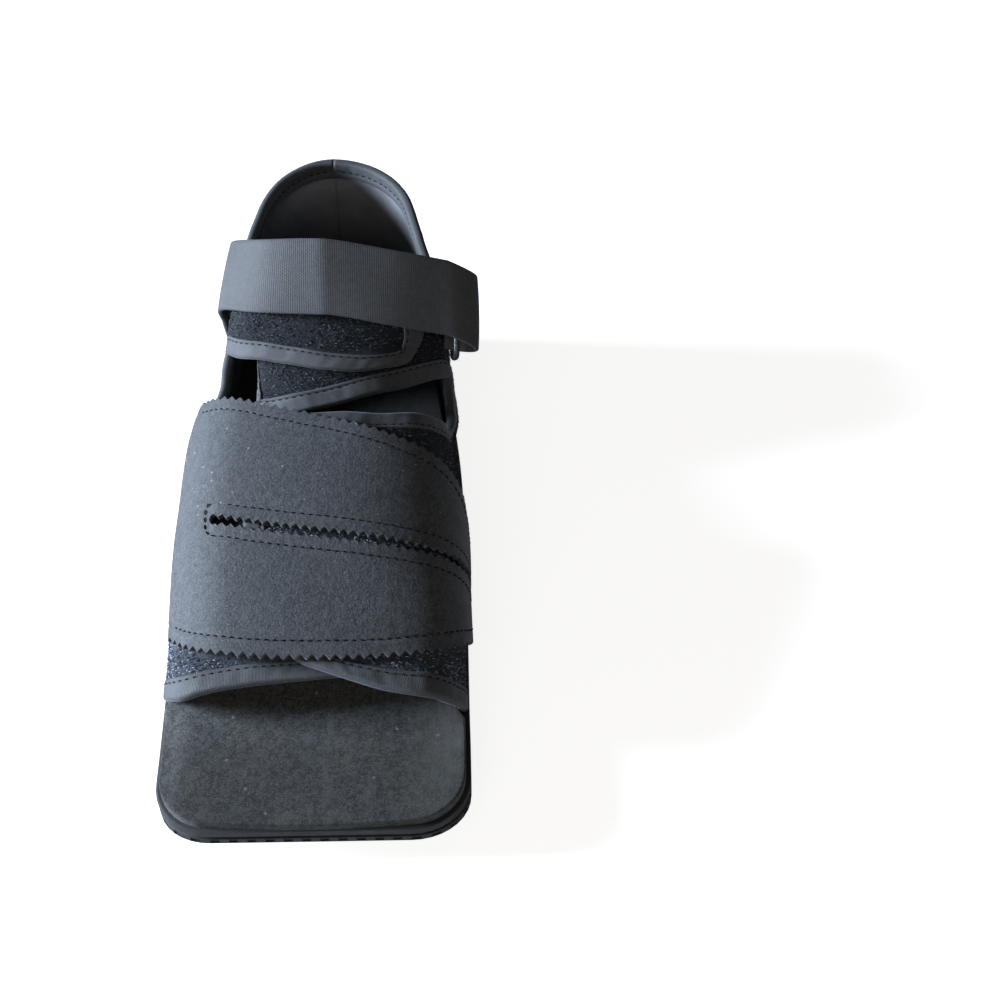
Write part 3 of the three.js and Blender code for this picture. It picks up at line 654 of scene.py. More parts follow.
def stitch_shape(line, normals, radius):
    """Rings of one stitch that dips into the cloth at both ends"""
    bow = np.sin(math.pi * np.linspace(0, 1, STITCH_RINGS))
    rise, sunk = STITCH_BOW
    thin, swell = STITCH_THICK
    middle = line + normals * (radius * (rise * bow - sunk))[:, None]
    way = unit(line[-1] - line[0])
    across = unit(np.cross(np.broadcast_to(way, normals.shape), normals))
    turn = np.linspace(0, 2 * math.pi, STITCH_SIDES, endpoint=False)
    thick = radius * (thin + swell * bow)
    ring = across[:, None] * np.cos(turn)[:, None] + normals[:, None] * np.sin(turn)[:, None]
    return middle[:, None] + ring * thick[:, None, None]


def stitch_piece(name, runs, slot):
    """All stitches of several seams as one piece; a run is a line and its normals, in millimetres"""
    pitch = sizes().stitch / MM
    radius = sizes().thread / MM
    verts = []
    faces = []
    ring = np.arange(STITCH_SIDES)
    around = np.roll(ring, -1)
    for line, normals in runs:
        arc = arc_lengths(line)
        for k in range(int(arc[-1] / pitch)):
            span = np.linspace(k + STITCH_SPAN[0], k + STITCH_SPAN[1], STITCH_RINGS) * pitch
            facing = unit(interpolated(normals, arc, span))
            start = len(verts) * STITCH_RINGS * STITCH_SIDES
            verts.append(stitch_shape(interpolated(line, arc, span), facing, radius).reshape(-1, 3))
            for i in range(STITCH_RINGS - 1):
                low = start + i * STITCH_SIDES
                high = low + STITCH_SIDES
                faces += np.stack([low + ring, low + around, high + around, high + ring], 1).tolist()
            faces.append((start + ring[::-1]).tolist())
            faces.append((start + (STITCH_RINGS - 1) * STITCH_SIDES + ring).tolist())
    piece = closed_piece(name, np.concatenate(verts) * MM, faces, finish_of("thread"))
    finish_piece(piece, slot)


def closed_piece(name, verts, faces, material):
    """A smooth piece of many small closed shapes, from points in metres"""
    piece = new_piece(name, verts, faces, [material])
    edit_all(piece)
    bpy.ops.mesh.normals_make_consistent(inside=False)
    bpy.ops.object.mode_set(mode="OBJECT")
    bpy.ops.object.shade_smooth()
    return piece


# Shader helpers

class Tree:
    """Places and links nodes in one shader tree"""

    def __init__(self, tree):
        self.tree = tree

    def put(self, socket, value):
        """Links a socket to another one, or sets its value"""
        if isinstance(value, bpy.types.NodeSocket):
            self.tree.links.new(value, socket)
        else:
            socket.default_value = value

    def node(self, kind, inputs=None, **settings):
        """A new node, with its settings, and its inputs linked or set"""
        made = self.tree.nodes.new(kind)
        for name, value in settings.items():
            setattr(made, name, value)
        for name, value in (inputs or {}).items():
            self.put(made.inputs[name], value)
        return made

    def math(self, operation, a, b=0.0):
        """One sum on values or sockets"""
        return self.node("ShaderNodeMath", {0: a, 1: b}, operation=operation).outputs[0]

    def times(self, a, b):
        """Two values multiplied"""
        return self.math("MULTIPLY", a, b)

    def vector_times(self, a, b):
        """Two vectors or colours multiplied part by part"""
        return self.node("ShaderNodeVectorMath", {0: a, 1: b}, operation="MULTIPLY").outputs[0]

    def ramp(self, value, low, high, start=0.0, end=1.0):
        """A value moved from one range to another, and held inside it"""
        inputs = {"Value": value, "From Min": low, "From Max": high, "To Min": start, "To Max": end}
        return self.node("ShaderNodeMapRange", inputs, clamp=True).outputs["Result"]

    def blend(self, share, a, b):
        """A colour between two colours"""
        return self.node("ShaderNodeMix", {0: share, 6: a, 7: b}, data_type="RGBA").outputs[2]

    def shades(self, share, rgb, dark, light):
        """A colour between a darker and a lighter shade of one colour"""
        return self.blend(share, solid_colour(rgb, dark), solid_colour(rgb, light))

    def noise(self, vector, scale, detail=3.0, roughness=0.6):
        """Smooth noise from 0 to 1"""
        inputs = {"Vector": vector, "Scale": scale, "Detail": detail, "Roughness": roughness}
        return self.node("ShaderNodeTexNoise", inputs).outputs["Fac"]

    def place(self):
        """Where each point is on the shoe, in metres"""
        return self.node("ShaderNodeTexCoord").outputs["Object"]

    def parts(self, vector):
        """The X, Y and Z of a vector"""
        return self.node("ShaderNodeSeparateXYZ", {0: vector}).outputs

    def shared(self, name, inputs):
        """The outputs of a shared shader group, which is made on first use"""
        group = bpy.data.node_groups.get(name) or SHARED_GROUPS[name]()
        return self.node("ShaderNodeGroup", inputs, node_tree=group).outputs

    def grain(self, place, scale):
        """Height and mottling of a fine grain"""
        return self.shared("Fine grain", {"Vector": place, "Scale": scale})

    def bump(self, height, strength, distance, below=None):
        """A normal from a height, on top of another one if given"""
        inputs = {"Height": height, "Strength": strength, "Distance": distance}
        if below is not None:
            inputs["Normal"] = below
        return self.node("ShaderNodeBump", inputs).outputs["Normal"]


def new_group(name, inputs, outputs):
    """A shader group with named sockets, and its input and output nodes"""
    group = bpy.data.node_groups.new(name, "ShaderNodeTree")
    for socket, kind, default in inputs:
        made = group.interface.new_socket(socket, in_out="INPUT", socket_type=kind)
        if default is not None:
            made.default_value = default
    for socket, kind in outputs:
        group.interface.new_socket(socket, in_out="OUTPUT", socket_type=kind)
    tree = Tree(group)
    return tree, tree.node("NodeGroupInput").outputs, tree.node("NodeGroupOutput").inputs


def grain_group():
    """Fine nap or grain: a height and a slow mottling"""
    tree, given, out = new_group(
        "Fine grain",
        [("Vector", "NodeSocketVector", None), ("Scale", "NodeSocketFloat", 900.0)],
        [("Height", "NodeSocketFloat"), ("Mottle", "NodeSocketFloat")],
    )
    fine = tree.noise(given["Vector"], given["Scale"], 4.0, 0.7)
    coarse = tree.noise(given["Vector"], tree.times(given["Scale"], 0.36), 2.0)
    slow = tree.noise(given["Vector"], tree.times(given["Scale"], 0.03), 3.0)
    tree.put(out["Height"], tree.math("ADD", tree.times(fine, 0.6), tree.times(coarse, 0.4)))
    tree.put(out["Mottle"], slow)
    return tree.tree


def rib_group():
    """Woven ribs that run across a tape, broken into short floats"""
    tree, given, out = new_group(
        "Rib weave",
        [
            ("Vector", "NodeSocketVector", None),
            ("Rib pitch", "NodeSocketFloat", 0.0012),
            ("Float pitch", "NodeSocketFloat", 0.0009),
        ],
        [("Height", "NodeSocketFloat"), ("Gap", "NodeSocketFloat")],
    )
    parts = tree.parts(given["Vector"])
    along = tree.math("DIVIDE", parts["X"], given["Rib pitch"])
    across = tree.math("DIVIDE", parts["Y"], given["Float pitch"])
    shifted = tree.math("ADD", across, tree.times(tree.math("FLOOR", along), 0.5))
    rib = tree.math("SINE", tree.times(tree.math("FRACT", along), math.pi))
    knot = tree.math("SINE", tree.times(tree.math("FRACT", shifted), math.pi))
    height = tree.times(rib, tree.math("ADD", tree.times(knot, 0.78), 0.22))
    tree.put(out["Height"], height)
    tree.put(out["Gap"], tree.ramp(height, 0.0, 0.35, 1.0, 0.0))
    return tree.tree


def lint_group():
    """Sparse pale specks of lint and dust"""
    tree, given, out = new_group(
        "Lint",
        [("Vector", "NodeSocketVector", None), ("Scale", "NodeSocketFloat", 160.0)],
        [("Mask", "NodeSocketFloat")],
    )
    inputs = {"Vector": given["Vector"], "Scale": given["Scale"]}
    cells = tree.node("ShaderNodeTexVoronoi", inputs, voronoi_dimensions="2D").outputs
    dot = tree.ramp(cells["Distance"], 0.04, 0.1, 1.0, 0.0)
    pick = tree.node("ShaderNodeSeparateColor", {0: cells["Color"]}).outputs[0]
    tree.put(out["Mask"], tree.times(dot, tree.math("GREATER_THAN", pick, 0.9)))
    return tree.tree


SHARED_GROUPS = {"Fine grain": grain_group, "Rib weave": rib_group, "Lint": lint_group}

# Finishes

COOL_SHEEN = (0.75, 0.82, 0.95, 1.0)
WORN_FOAM = (0.13, 0.132, 0.124)
SCUFFED_RUBBER = (0.13, 0.13, 0.13)


def solid_colour(rgb, gain=1.0):
    """A colour with alpha, made lighter or darker"""
    return (*[min(1.0, c * gain) for c in rgb], 1.0)


def grey(value):
    """An even grey with alpha"""
    return (value, value, value, 1.0)


def new_material(name):
    """A material with a Principled shader, and its node helper"""
    material = bpy.data.materials.new(name)
    material.use_nodes = True
    return material, Tree(material.node_tree)


def set_shader(tree, **inputs):
    """Sets or links sockets of the Principled shader; underscores stand for spaces"""
    shader = tree.tree.nodes["Principled BSDF"]
    for name, value in inputs.items():
        tree.put(shader.inputs[name.replace("_", " ")], value)


def nubuck_material():
    """Nubuck-like sheet: fine nap, slow mottling, painted glints and a few pale specks"""
    material, tree = new_material("Nubuck")
    place = tree.place()
    grain = tree.grain(place, 1050.0)
    lint = tree.shared("Lint", {"Vector": place, "Scale": 230.0})
    rgb = colours().nubuck
    tone = tree.shades(tree.ramp(grain["Mottle"], 0.3, 0.7), rgb, 0.82, 1.12)
    tone = tree.blend(tree.ramp(grain["Height"], 0.43, 0.57), solid_colour(rgb, 0.5), tone)
    # Painted glints: small random spots painted up to three times lighter, standing in for light caught
    # by the nap
    painted_glint = tree.ramp(tree.noise(place, 2600.0, 1.0), 0.56, 0.7)
    tone = tree.blend(tree.times(painted_glint, 0.55), tone, solid_colour(rgb, 3.0))
    upper = tree.ramp(tree.parts(place)["Y"], -0.06, -0.02, 0.12, 1.0)
    speck = tree.times(lint["Mask"], upper)
    tone = tree.blend(tree.times(speck, 0.6), tone, (0.42, 0.44, 0.47, 1.0))
    set_shader(tree, Base_Color=tone, Roughness=0.72, Normal=tree.bump(grain["Height"], 0.8, 0.0006),
               Sheen_Weight=0.35, Sheen_Roughness=0.45, Sheen_Tint=COOL_SHEEN, Specular_IOR_Level=0.4)
    return material


def woven_material(name, rgb, rib_pitch, float_pitch, depth, gap, sheen):
    """Ribbed weave that follows the cloth's own lengths"""
    material, tree = new_material(name)
    flat = tree.node("ShaderNodeUVMap", uv_map="cloth").outputs["UV"]
    pitches = {"Rib pitch": rib_pitch, "Float pitch": float_pitch}
    weave = tree.shared("Rib weave", {"Vector": flat, **pitches})
    grain = tree.grain(tree.place(), 1400.0)
    tone = tree.shades(tree.ramp(grain["Mottle"], 0.3, 0.7), rgb, 0.86, 1.14)
    tone = tree.blend(tree.times(weave["Gap"], gap), tone, solid_colour(rgb, 0.3))
    nap = tree.ramp(grain["Height"], 0.42, 0.58)
    tone = tree.blend(tree.times(nap, 0.3), tone, solid_colour(rgb, 1.9))
    low = tree.bump(grain["Height"], 0.25, 0.0002)
    set_shader(tree, Base_Color=tone, Roughness=0.68, Normal=tree.bump(weave["Height"], 0.8, depth, low),
               Sheen_Weight=sheen, Sheen_Roughness=0.4, Sheen_Tint=COOL_SHEEN, Specular_IOR_Level=0.45)
    return material


def webbing_material():
    """Ribbed webbing of the ankle strap and the tab"""
    return woven_material("Webbing", colours().webbing, rib_pitch=0.00085, float_pitch=0.0012,
                          depth=0.00011, gap=0.34, sheen=0.12)


def tape_material():
    """Finely ribbed binding tape"""
    return woven_material("Binding tape", colours().tape, rib_pitch=0.00055, float_pitch=0.003,
                          depth=0.00008, gap=0.22, sheen=0.3)


def paint_toe_light_and_shade(tree, tone, place):
    """A tone with painted light at the toe and painted shade behind it"""
    # Painted light and shade: the tone is painted about twice as light at the toe and darker behind it,
    # over the throat and instep flaps
    back = tree.ramp(tree.parts(place)["Y"], -0.075, 0.03)
    return tree.vector_times(tone, tree.blend(back, grey(2.1), grey(0.62)))


def loop_material():
    """Ground of the loop cloth under its pile, with painted light at the toe and painted shade behind it
    """
    material, tree = new_material("Loop cloth")
    place = tree.place()
    tangle = tree.noise(place, 1600.0, 4.0, 0.75)
    tone = tree.shades(tree.ramp(tangle, 0.4, 0.62), colours().loop, 0.3, 1.4)
    set_shader(tree, Base_Color=paint_toe_light_and_shade(tree, tone, place), Roughness=0.8,
               Normal=tree.bump(tangle, 0.9, 0.0008), Specular_IOR_Level=0.25)
    return material


def pile_material():
    """Nylon pile: mostly dark threads, a few with painted glints, and painted light at the toe and
    painted shade behind it
    """
    material, tree = new_material("Loop pile")
    shade = tree.node("ShaderNodeAttribute", attribute_name="shade").outputs["Fac"]
    tone = tree.shades(tree.ramp(shade, 0.0, 0.75), colours().loop, 0.45, 1.6)
    # Painted glints: the threads with the highest shade value are painted pale blue-grey, as if they
    # caught the light
    tone = tree.blend(tree.ramp(shade, 0.75, 1.0), tone, (0.42, 0.48, 0.58, 1.0))
    tone = paint_toe_light_and_shade(tree, tone, tree.place())
    set_shader(tree, Base_Color=tone, Roughness=0.42, Specular_IOR_Level=0.55)
    return material


def lining_material():
    """Smooth knitted lining with faint creases, and painted shade that darkens it low in the shoe"""
    material, tree = new_material("Lining")
    place = tree.place()
    grain = tree.grain(place, 1700.0)
    rgb = colours().lining
    tone = tree.shades(tree.ramp(grain["Mottle"], 0.3, 0.7), rgb, 0.75, 1.3)
    # Painted shade: the lining is painted much darker low in the shoe, where little light reaches
    tone = tree.blend(tree.ramp(tree.parts(place)["Z"], 0.055, 0.088), solid_colour(rgb, 0.22), tone)
    crease = tree.bump(tree.noise(place, 42.0, 2.0), 0.5, 0.002)
    normal = tree.bump(grain["Height"], 0.3, 0.0002, crease)
    set_shader(tree, Base_Color=tone, Roughness=0.7, Normal=normal, Sheen_Weight=0.12,
               Sheen_Roughness=0.4, Sheen_Tint=COOL_SHEEN)
    return material


def thread_material():
    """Dark twisted sewing thread"""
    material, tree = new_material("Thread")
    twist = tree.noise(tree.place(), 2600.0, 2.0)
    tone = tree.shades(twist, colours().thread, 0.6, 1.6)
    set_shader(tree, Base_Color=tone, Roughness=0.8, Specular_IOR_Level=0.2,
               Normal=tree.bump(twist, 0.4, 0.0002))
    return material


def foam_material():
    """Closed-cell foam with a suede-like face, faint mottling and scuffs, painted light along the toe
    flaps' edge and painted shade under them
    """
    material, tree = new_material("Footbed foam")
    place = tree.place()
    parts = tree.parts(place)
    grain = tree.grain(place, 800.0)
    lint = tree.shared("Lint", {"Vector": place, "Scale": 140.0})
    rgb = colours().foam
    blotch = tree.noise(place, 24.0, 4.0, 0.65)
    tone = tree.shades(tree.ramp(blotch, 0.3, 0.7), rgb, 0.7, 1.25)
    tint = tree.ramp(tree.noise(place, 60.0, 3.0), 0.4, 0.6)
    warm = tree.blend(tint, (0.062, 0.058, 0.051, 1.0), (0.05, 0.058, 0.064, 1.0))
    tone = tree.blend(0.5, tone, warm)
    tone = tree.blend(tree.ramp(grain["Height"], 0.43, 0.57), solid_colour(rgb, 0.38), tone)
    fleck = tree.ramp(tree.noise(place, 2300.0, 1.0), 0.54, 0.72)
    tone = tree.blend(tree.times(fleck, 0.6), tone, solid_colour(rgb, 2.8))
    drawn = tree.vector_times(place, (1.0, 0.07, 1.0))
    streak = tree.ramp(tree.noise(drawn, 190.0, 3.0), 0.56, 0.7, 0.0, 0.3)
    tone = tree.blend(streak, tone, solid_colour(rgb, 1.7))
    worn = tree.times(tree.ramp(parts["X"], 0.028, 0.05), tree.ramp(blotch, 0.35, 0.6))
    tone = tree.blend(tree.times(worn, 0.6), tone, solid_colour(WORN_FOAM))
    tone = tree.blend(tree.times(lint["Mask"], 0.3), tone, (0.4, 0.4, 0.38, 1.0))
    # Painted light and shade: the tone is painted lighter along the toe flaps' edge, where their shadow
    # falls, a little darker towards the toe, and much darker further under the flaps
    near = tree.ramp(parts["Y"], -0.112, -0.094)
    gain = tree.blend(near, (0.88, 0.88, 0.87, 1.0), (1.6, 1.63, 1.7, 1.0))
    gain = tree.blend(tree.ramp(parts["Y"], -0.08, -0.04), gain, grey(0.3))
    set_shader(tree, Base_Color=tree.vector_times(tone, gain), Roughness=0.85, Specular_IOR_Level=0.3,
               Normal=tree.bump(grain["Height"], 0.5, 0.0004), Sheen_Weight=0.15, Sheen_Roughness=0.5)
    return material


def rubber_material():
    """Moulded rubber with scuffs and dust on its side"""
    material, tree = new_material("Sole rubber")
    place = tree.place()
    grain = tree.grain(place, 1200.0)
    scuff = tree.noise(place, 95.0, 5.0, 0.7)
    dust = tree.noise(place, 30.0, 3.0)
    tone = tree.shades(tree.ramp(dust, 0.35, 0.7), colours().rubber, 0.8, 1.35)
    tone = tree.blend(tree.ramp(scuff, 0.6, 0.72, 0.0, 0.5), tone, solid_colour(SCUFFED_RUBBER))
    set_shader(tree, Base_Color=tone, Roughness=tree.ramp(scuff, 0.3, 0.7, 0.5, 0.75),
               Normal=tree.bump(grain["Height"], 0.3, 0.0003))
    return material


def ring_material():
    """Glossy moulded plastic with hairline scratches"""
    material, tree = new_material("Ring plastic")
    scratch = tree.noise(tree.place(), 700.0, 4.0, 0.7)
    tone = tree.shades(scratch, colours().ring, 0.8, 1.4)
    set_shader(tree, Base_Color=tone, Roughness=tree.ramp(scratch, 0.4, 0.75, 0.22, 0.34))
    return material


def floor_material():
    """Pale even floor that looks lit from below, and throws little light back on the shoe"""
    material, tree = new_material("Floor")
    seen = tree.node("ShaderNodeLightPath").outputs["Is Camera Ray"]
    set_shader(tree, Base_Color=tree.shades(seen, colours().floor, 0.8, 1.0), Roughness=0.9,
               Emission_Color=tree.blend(seen, grey(0.05), grey(0.84)), Emission_Strength=1.0)
    return material


FINISHES = {
    "nubuck": nubuck_material,
    "webbing": webbing_material,
    "tape": tape_material,
    "loop": loop_material,
    "pile": pile_material,
    "lining": lining_material,
    "thread": thread_material,
    "foam": foam_material,
    "rubber": rubber_material,
    "ring": ring_material,
    "floor": floor_material,
}
made_finishes = {}


def finish_of(name):
    """The material of a finish, made on first use"""
    if name not in made_finishes:
        made_finishes[name] = FINISHES[name]()
    return made_finishes[name]


# Soles

CORNER_POINTS = 10
HEEL_POINTS = 22
HEEL_SWEEP = 86
FLAT_NORMAL = 0.7
LEVEL = 0.01


def sole_outline(inset_at, step=3.0, bow=0.0):
    """Points round the sole, moved in by inset_at(side, y), from the toe's left corner by the heel"""
    corner = np.radians(np.linspace(90, 0, CORNER_POINTS))
    angle = np.radians(np.linspace(0, HEEL_SWEEP, HEEL_POINTS))
    corner_y = TOE_Y + TOE_CORNER
    sides = {}
    for side in (LEFT, RIGHT):
        corner_x = sole_half(side, corner_y) - TOE_CORNER
        radius = TOE_CORNER - inset_at(side, corner_y - TOE_CORNER * np.sin(corner))
        toe = points(side * (corner_x + radius * np.cos(corner)), corner_y - radius * np.sin(corner), 0)
        y = np.arange(corner_y + step, HEEL_ARC_Y, step)
        edge = points(side * (sole_half(side, y) - inset_at(side, y)), y, 0)
        reach = inset_at(side, np.full(HEEL_POINTS, float(HEEL_Y)))
        x = mix(HEEL_X, side * (sole_half(side, HEEL_ARC_Y) - reach), np.cos(angle))
        heel = points(x, HEEL_ARC_Y + (HEEL_Y - HEEL_ARC_Y - reach) * np.sin(angle), 0)
        sides[side] = np.concatenate([toe, edge, heel])
    left = sides[LEFT][0]
    right = sides[RIGHT][0]
    count = int(np.linalg.norm(right - left) / step)
    toe_line = mix(right, left, np.linspace(0, 1, count + 1)[1:-1, None])
    outline = np.concatenate([sides[LEFT], sides[RIGHT][::-1], toe_line])
    at_toe = outline[:, 1] < TOE_Y + TOE_CORNER / 2
    outline[:, 1] -= bow * np.clip(1 - (outline[:, 0] / right[0]) ** 2, 0, 1) * at_toe
    apart = np.linalg.norm(outline - np.roll(outline, 1, axis=0), axis=1)
    return outline[apart > 0.5 * step]


def outline_piece(name, outline, z):
    """A flat face of the outline's shape at the height z, left in edit mode"""
    bpy.ops.object.select_all(action="DESELECT")
    bpy.ops.mesh.primitive_circle_add(vertices=len(outline), radius=1.0, fill_type="NGON")
    piece = bpy.context.object
    piece.name = name
    piece.data.name = name
    for vertex, (x, y, _) in zip(piece.data.vertices, outline):
        vertex.co = (x * MM, y * MM, z * MM)
    edit_all(piece)
    bpy.ops.mesh.normals_make_consistent(inside=False)
    return piece


def raise_band(height):
    """Pulls the selected face up by a height in millimetres"""
    bpy.ops.mesh.extrude_region_move(TRANSFORM_OT_translate={"value": (0, 0, height * MM)})


def nothing_picked(piece):
    """The mesh of a piece in object mode, with nothing selected"""
    bpy.ops.object.mode_set(mode="OBJECT")
    mesh = piece.data
    for items in (mesh.vertices, mesh.edges, mesh.polygons):
        for item in items:
            item.select = False
    return mesh


def pick_faces(piece, test):
    """Selects the faces whose centre, in millimetres, and normal pass the test"""
    for face in nothing_picked(piece).polygons:
        face.select = bool(test(face.center / MM, face.normal))
    bpy.ops.object.mode_set(mode="EDIT")
    bpy.ops.mesh.select_mode(type="FACE")


def round_rim(piece, z, radius, segments):
    """Rounds the outer edge that lies at one height, between a flat face and the side"""
    mesh = nothing_picked(piece)
    flat = {}
    for face in mesh.polygons:
        for key in face.edge_keys:
            flat.setdefault(key, []).append(abs(face.normal.z) > FLAT_NORMAL)
    for edge in mesh.edges:
        level = all(abs(mesh.vertices[i].co.z / MM - z) < LEVEL for i in edge.vertices)
        sides = flat.get(tuple(sorted(edge.vertices)), [])
        edge.select = level and len(sides) == 2 and sides[0] != sides[1]
    bpy.ops.object.mode_set(mode="EDIT")
    bpy.ops.mesh.select_mode(type="EDGE")
    bpy.ops.mesh.bevel(offset=radius * MM, segments=segments, affect="EDGES")


def cut_across(values, axis):
    """Cuts the whole piece by planes across one axis, at values in millimetres"""
    facing = Vector([float(k == axis) for k in range(3)])
    for value in values:
        bpy.ops.mesh.select_all(action="SELECT")
        bpy.ops.mesh.bisect(plane_co=facing * (value * MM), plane_no=facing, use_fill=False)


def sole_band(index):
    """The lower and upper place of one band of the outsole's side"""
    return sum(SOLE_BANDS[:index]), sum(SOLE_BANDS[: index + 1])


class SHOE_OT_outsole(bpy.types.Operator):
    """Moulded rocker sole with a groove round its side, ribs at the toe and a grooved tread"""

    bl_idname = "shoe.outsole"
    bl_label = "Outsole"

    def execute(self, context):
        sole = outline_piece("sole_moulding", sole_outline(lambda side, y: 0 * y), 0)
        for height in SOLE_BANDS:
            raise_band(height)
        low, high = sole_band(GROOVE_BAND)
        pick_faces(sole, lambda c, n: abs(n.z) < 0.5 and low < c.z < high)
        bpy.ops.transform.shrink_fatten(value=sizes().groove)
        round_rim(sole, OUTSOLE_TOP, TOP_ROUND, 3)
        round_rim(sole, 0, GROUND_ROUND, 4)
        self.cut_tread(sole)
        self.raise_ribs(sole)
        bpy.ops.object.mode_set(mode="OBJECT")
        for vertex in sole.data.vertices:
            share = vertex.co.z / (OUTSOLE_TOP * MM)
            vertex.co.z = mix(float(ground_z(vertex.co.y / MM)) * MM, OUTSOLE_TOP * MM, share)
        bpy.ops.object.shade_smooth_by_angle(angle=math.radians(32))
        sole.data.materials.append(finish_of("rubber"))
        finish_piece(sole, "sole_rubber", "outsole")
        return {"FINISHED"}

    def cut_tread(self, sole):
        """Grooves across the underside"""
        front, back = TREAD_ENDS
        starts = np.arange(TOE_Y + front, HEEL_Y - back, TREAD_PITCH)

        def under(centre, normal):
            return normal.z < -0.9 and centre.z < 1

        def groove(centre, normal):
            past = centre.y - starts[0]
            return under(centre, normal) and past > 0 and past % TREAD_PITCH < TREAD_WIDTH

        for y in np.sort(np.concatenate([starts, starts + TREAD_WIDTH])):
            pick_faces(sole, under)
            bpy.ops.mesh.bisect(plane_co=(0, y * MM, 0), plane_no=(0, 1, 0), use_fill=False)
        pick_faces(sole, groove)
        bpy.ops.mesh.inset(thickness=TREAD_DRAFT * MM, depth=0, use_individual=True)
        bpy.ops.transform.translate(value=(0, 0, TREAD_DEPTH * MM))

    def raise_ribs(self, sole):
        """Short upright ribs round the toe, below the groove"""
        low, high = sole_band(RIB_BAND)

        def at_toe(centre, normal):
            return low < centre.z < high and abs(normal.z) < 0.3 and centre.y < RIB_FRONT_Y

        def turn(centre):
            return math.atan2(centre.x, RIB_FRONT_Y - centre.y)

        faces = [(face.center / MM, face.normal) for face in nothing_picked(sole).polygons]
        ribs = sorted(turn(centre) for centre, normal in faces if at_toe(centre, normal))[1::2]
        pick_faces(sole, lambda centre, normal: at_toe(centre, normal) and turn(centre) in ribs)
        bpy.ops.mesh.inset(thickness=RIB_MARGIN * MM, depth=RIB_DEPTH * MM, use_individual=True)


def footbed_inset(side, y):
    """How far the footbed stands in from the sole's edge"""
    return mix(FOOTBED_TOE_INSET, FOOTBED_UPPER_INSET, smooth(y, *FOOTBED_STEP[side]))


def footbed_drop(x, y, z, base, top):
    """How far a point of the flat footbed goes down: a dish under the foot, a thin toe, low sides"""
    skin = float(smooth(z, top - FOOTBED_SKIN, top))
    width, deep = FOOTBED_DISH
    dish = deep * math.exp(-((x / width) ** 2)) * float(smooth(y, *FOOTBED_DISH_FROM))
    wave = FOOTBED_WAVE * math.sin(0.11 * x + 0.4) * math.sin(0.09 * y)
    start, stop, thin = FOOTBED_TAPER
    at_toe = float(smooth(-y, start, stop))
    side = LEFT if x < 0 else RIGHT
    reach, fall = FOOTBED_ROLL[side]
    to_edge = float(sole_half(side, y)) - FOOTBED_TOE_INSET - abs(x)
    roll = fall * (1 - float(smooth(to_edge, 0, reach))) * (1 - float(smooth(y, *FOOTBED_ROLL_END)))
    share = (z - base) / (top - base)
    return skin * (dish + wave) + share * (thin * at_toe + roll * (1 - at_toe))


class SHOE_OT_footbed(bpy.types.Operator):
    """Foam footbed with soft rounded edges, a little dished under the foot"""

    bl_idname = "shoe.footbed"
    bl_label = "Footbed"

    def execute(self, context):
        base = OUTSOLE_TOP + FOOTBED_GAP
        top = BASE_Z + sizes().footbed / MM
        foam = outline_piece("footbed_pad", sole_outline(footbed_inset, 2.4, FOOTBED_BOW), base)
        raise_band(FOOTBED_SKIRT)
        raise_band(top - base - FOOTBED_SKIRT)
        round_rim(foam, top, FOOTBED_ROUND, 3)
        cut_across(np.arange(TOE_Y + 8, HEEL_Y - 6, FOOTBED_CUT), 1)
        cut_across(np.arange(-48, 49, FOOTBED_CUT), 0)
        cut_across(FOOTBED_EDGE_CUTS, 0)
        bpy.ops.object.mode_set(mode="OBJECT")
        for vertex in foam.data.vertices:
            vertex.co.z -= footbed_drop(*(vertex.co / MM), base, top) * MM
        bpy.ops.object.shade_smooth_by_angle(angle=math.radians(50))
        foam.data.materials.append(finish_of("foam"))
        finish_piece(foam, "footbed_foam", "footbed")
        return {"FINISHED"}


# Cloth panels and their pile

PILE_LOOPS = 9400
PILE_TRIES = 3
PILE_SEED = 40
PILE_PITCH = 1.25
PILE_SCATTER = 0.12
PILE_ARC = ((-0.5, -0.3), (-0.24, 0.85), (0.22, 1.0), (0.5, -0.3))
PILE_SPAN = (0.9, 1.7)
PILE_HEIGHT = (0.25, 0.75)
PILE_TURN = 0.45
PILE_LEAN = 0.3
PILE_RADIUS = 0.085
PILE_BED = 1.1
PILE_SIDES = 3
COVER_REACH = 9


def panel_uv(grids):
    """Flat lengths of the three surfaces of a panel, across and along their rows"""
    flat = []
    for grid in grids:
        across = np.linalg.norm(np.diff(grid, axis=0), axis=2).mean(axis=1)
        along = np.linalg.norm(np.diff(grid, axis=1), axis=2).mean(axis=0)
        flat.append(flat_uv(running(across), running(along)))
    return flat


class SHOE_OT_panels(bpy.types.Operator):
    """Left and right cloth panels, each with a toe flap, a side wall and an instep flap"""

    bl_idname = "shoe.panels"
    bl_label = "Cloth panels"

    def execute(self, context):
        for side in (LEFT, RIGHT):
            name = side_name(side)
            grids = panel_grids(side)
            finishes = [finish_of("loop"), finish_of("lining")]
            panel = sheet_piece(f"{name}_panel", grids, panel_uv(grids), side == LEFT, finishes)
            modify(panel, "SOLIDIFY", thickness=sizes().panel, offset=0.0, material_offset=1)
            bpy.ops.object.shade_smooth()
            finish_piece(panel, "loop_cloth", f"upper_{name}")
            finish_piece(pile_piece(side, finish_of("pile")), "loop_cloth")
        return {"FINISHED"}


def grid_at(grid, i, j):
    """Places on a grid at fractional rows and columns"""
    i0 = np.clip(np.floor(i).astype(int), 0, grid.shape[0] - 2)
    j0 = np.clip(np.floor(j).astype(int), 0, grid.shape[1] - 2)
    a = (i - i0)[:, None]
    b = (j - j0)[:, None]
    near = mix(grid[i0, j0], grid[i0, j0 + 1], b)
    far = mix(grid[i0 + 1, j0], grid[i0 + 1, j0 + 1], b)
    return mix(near, far, a)


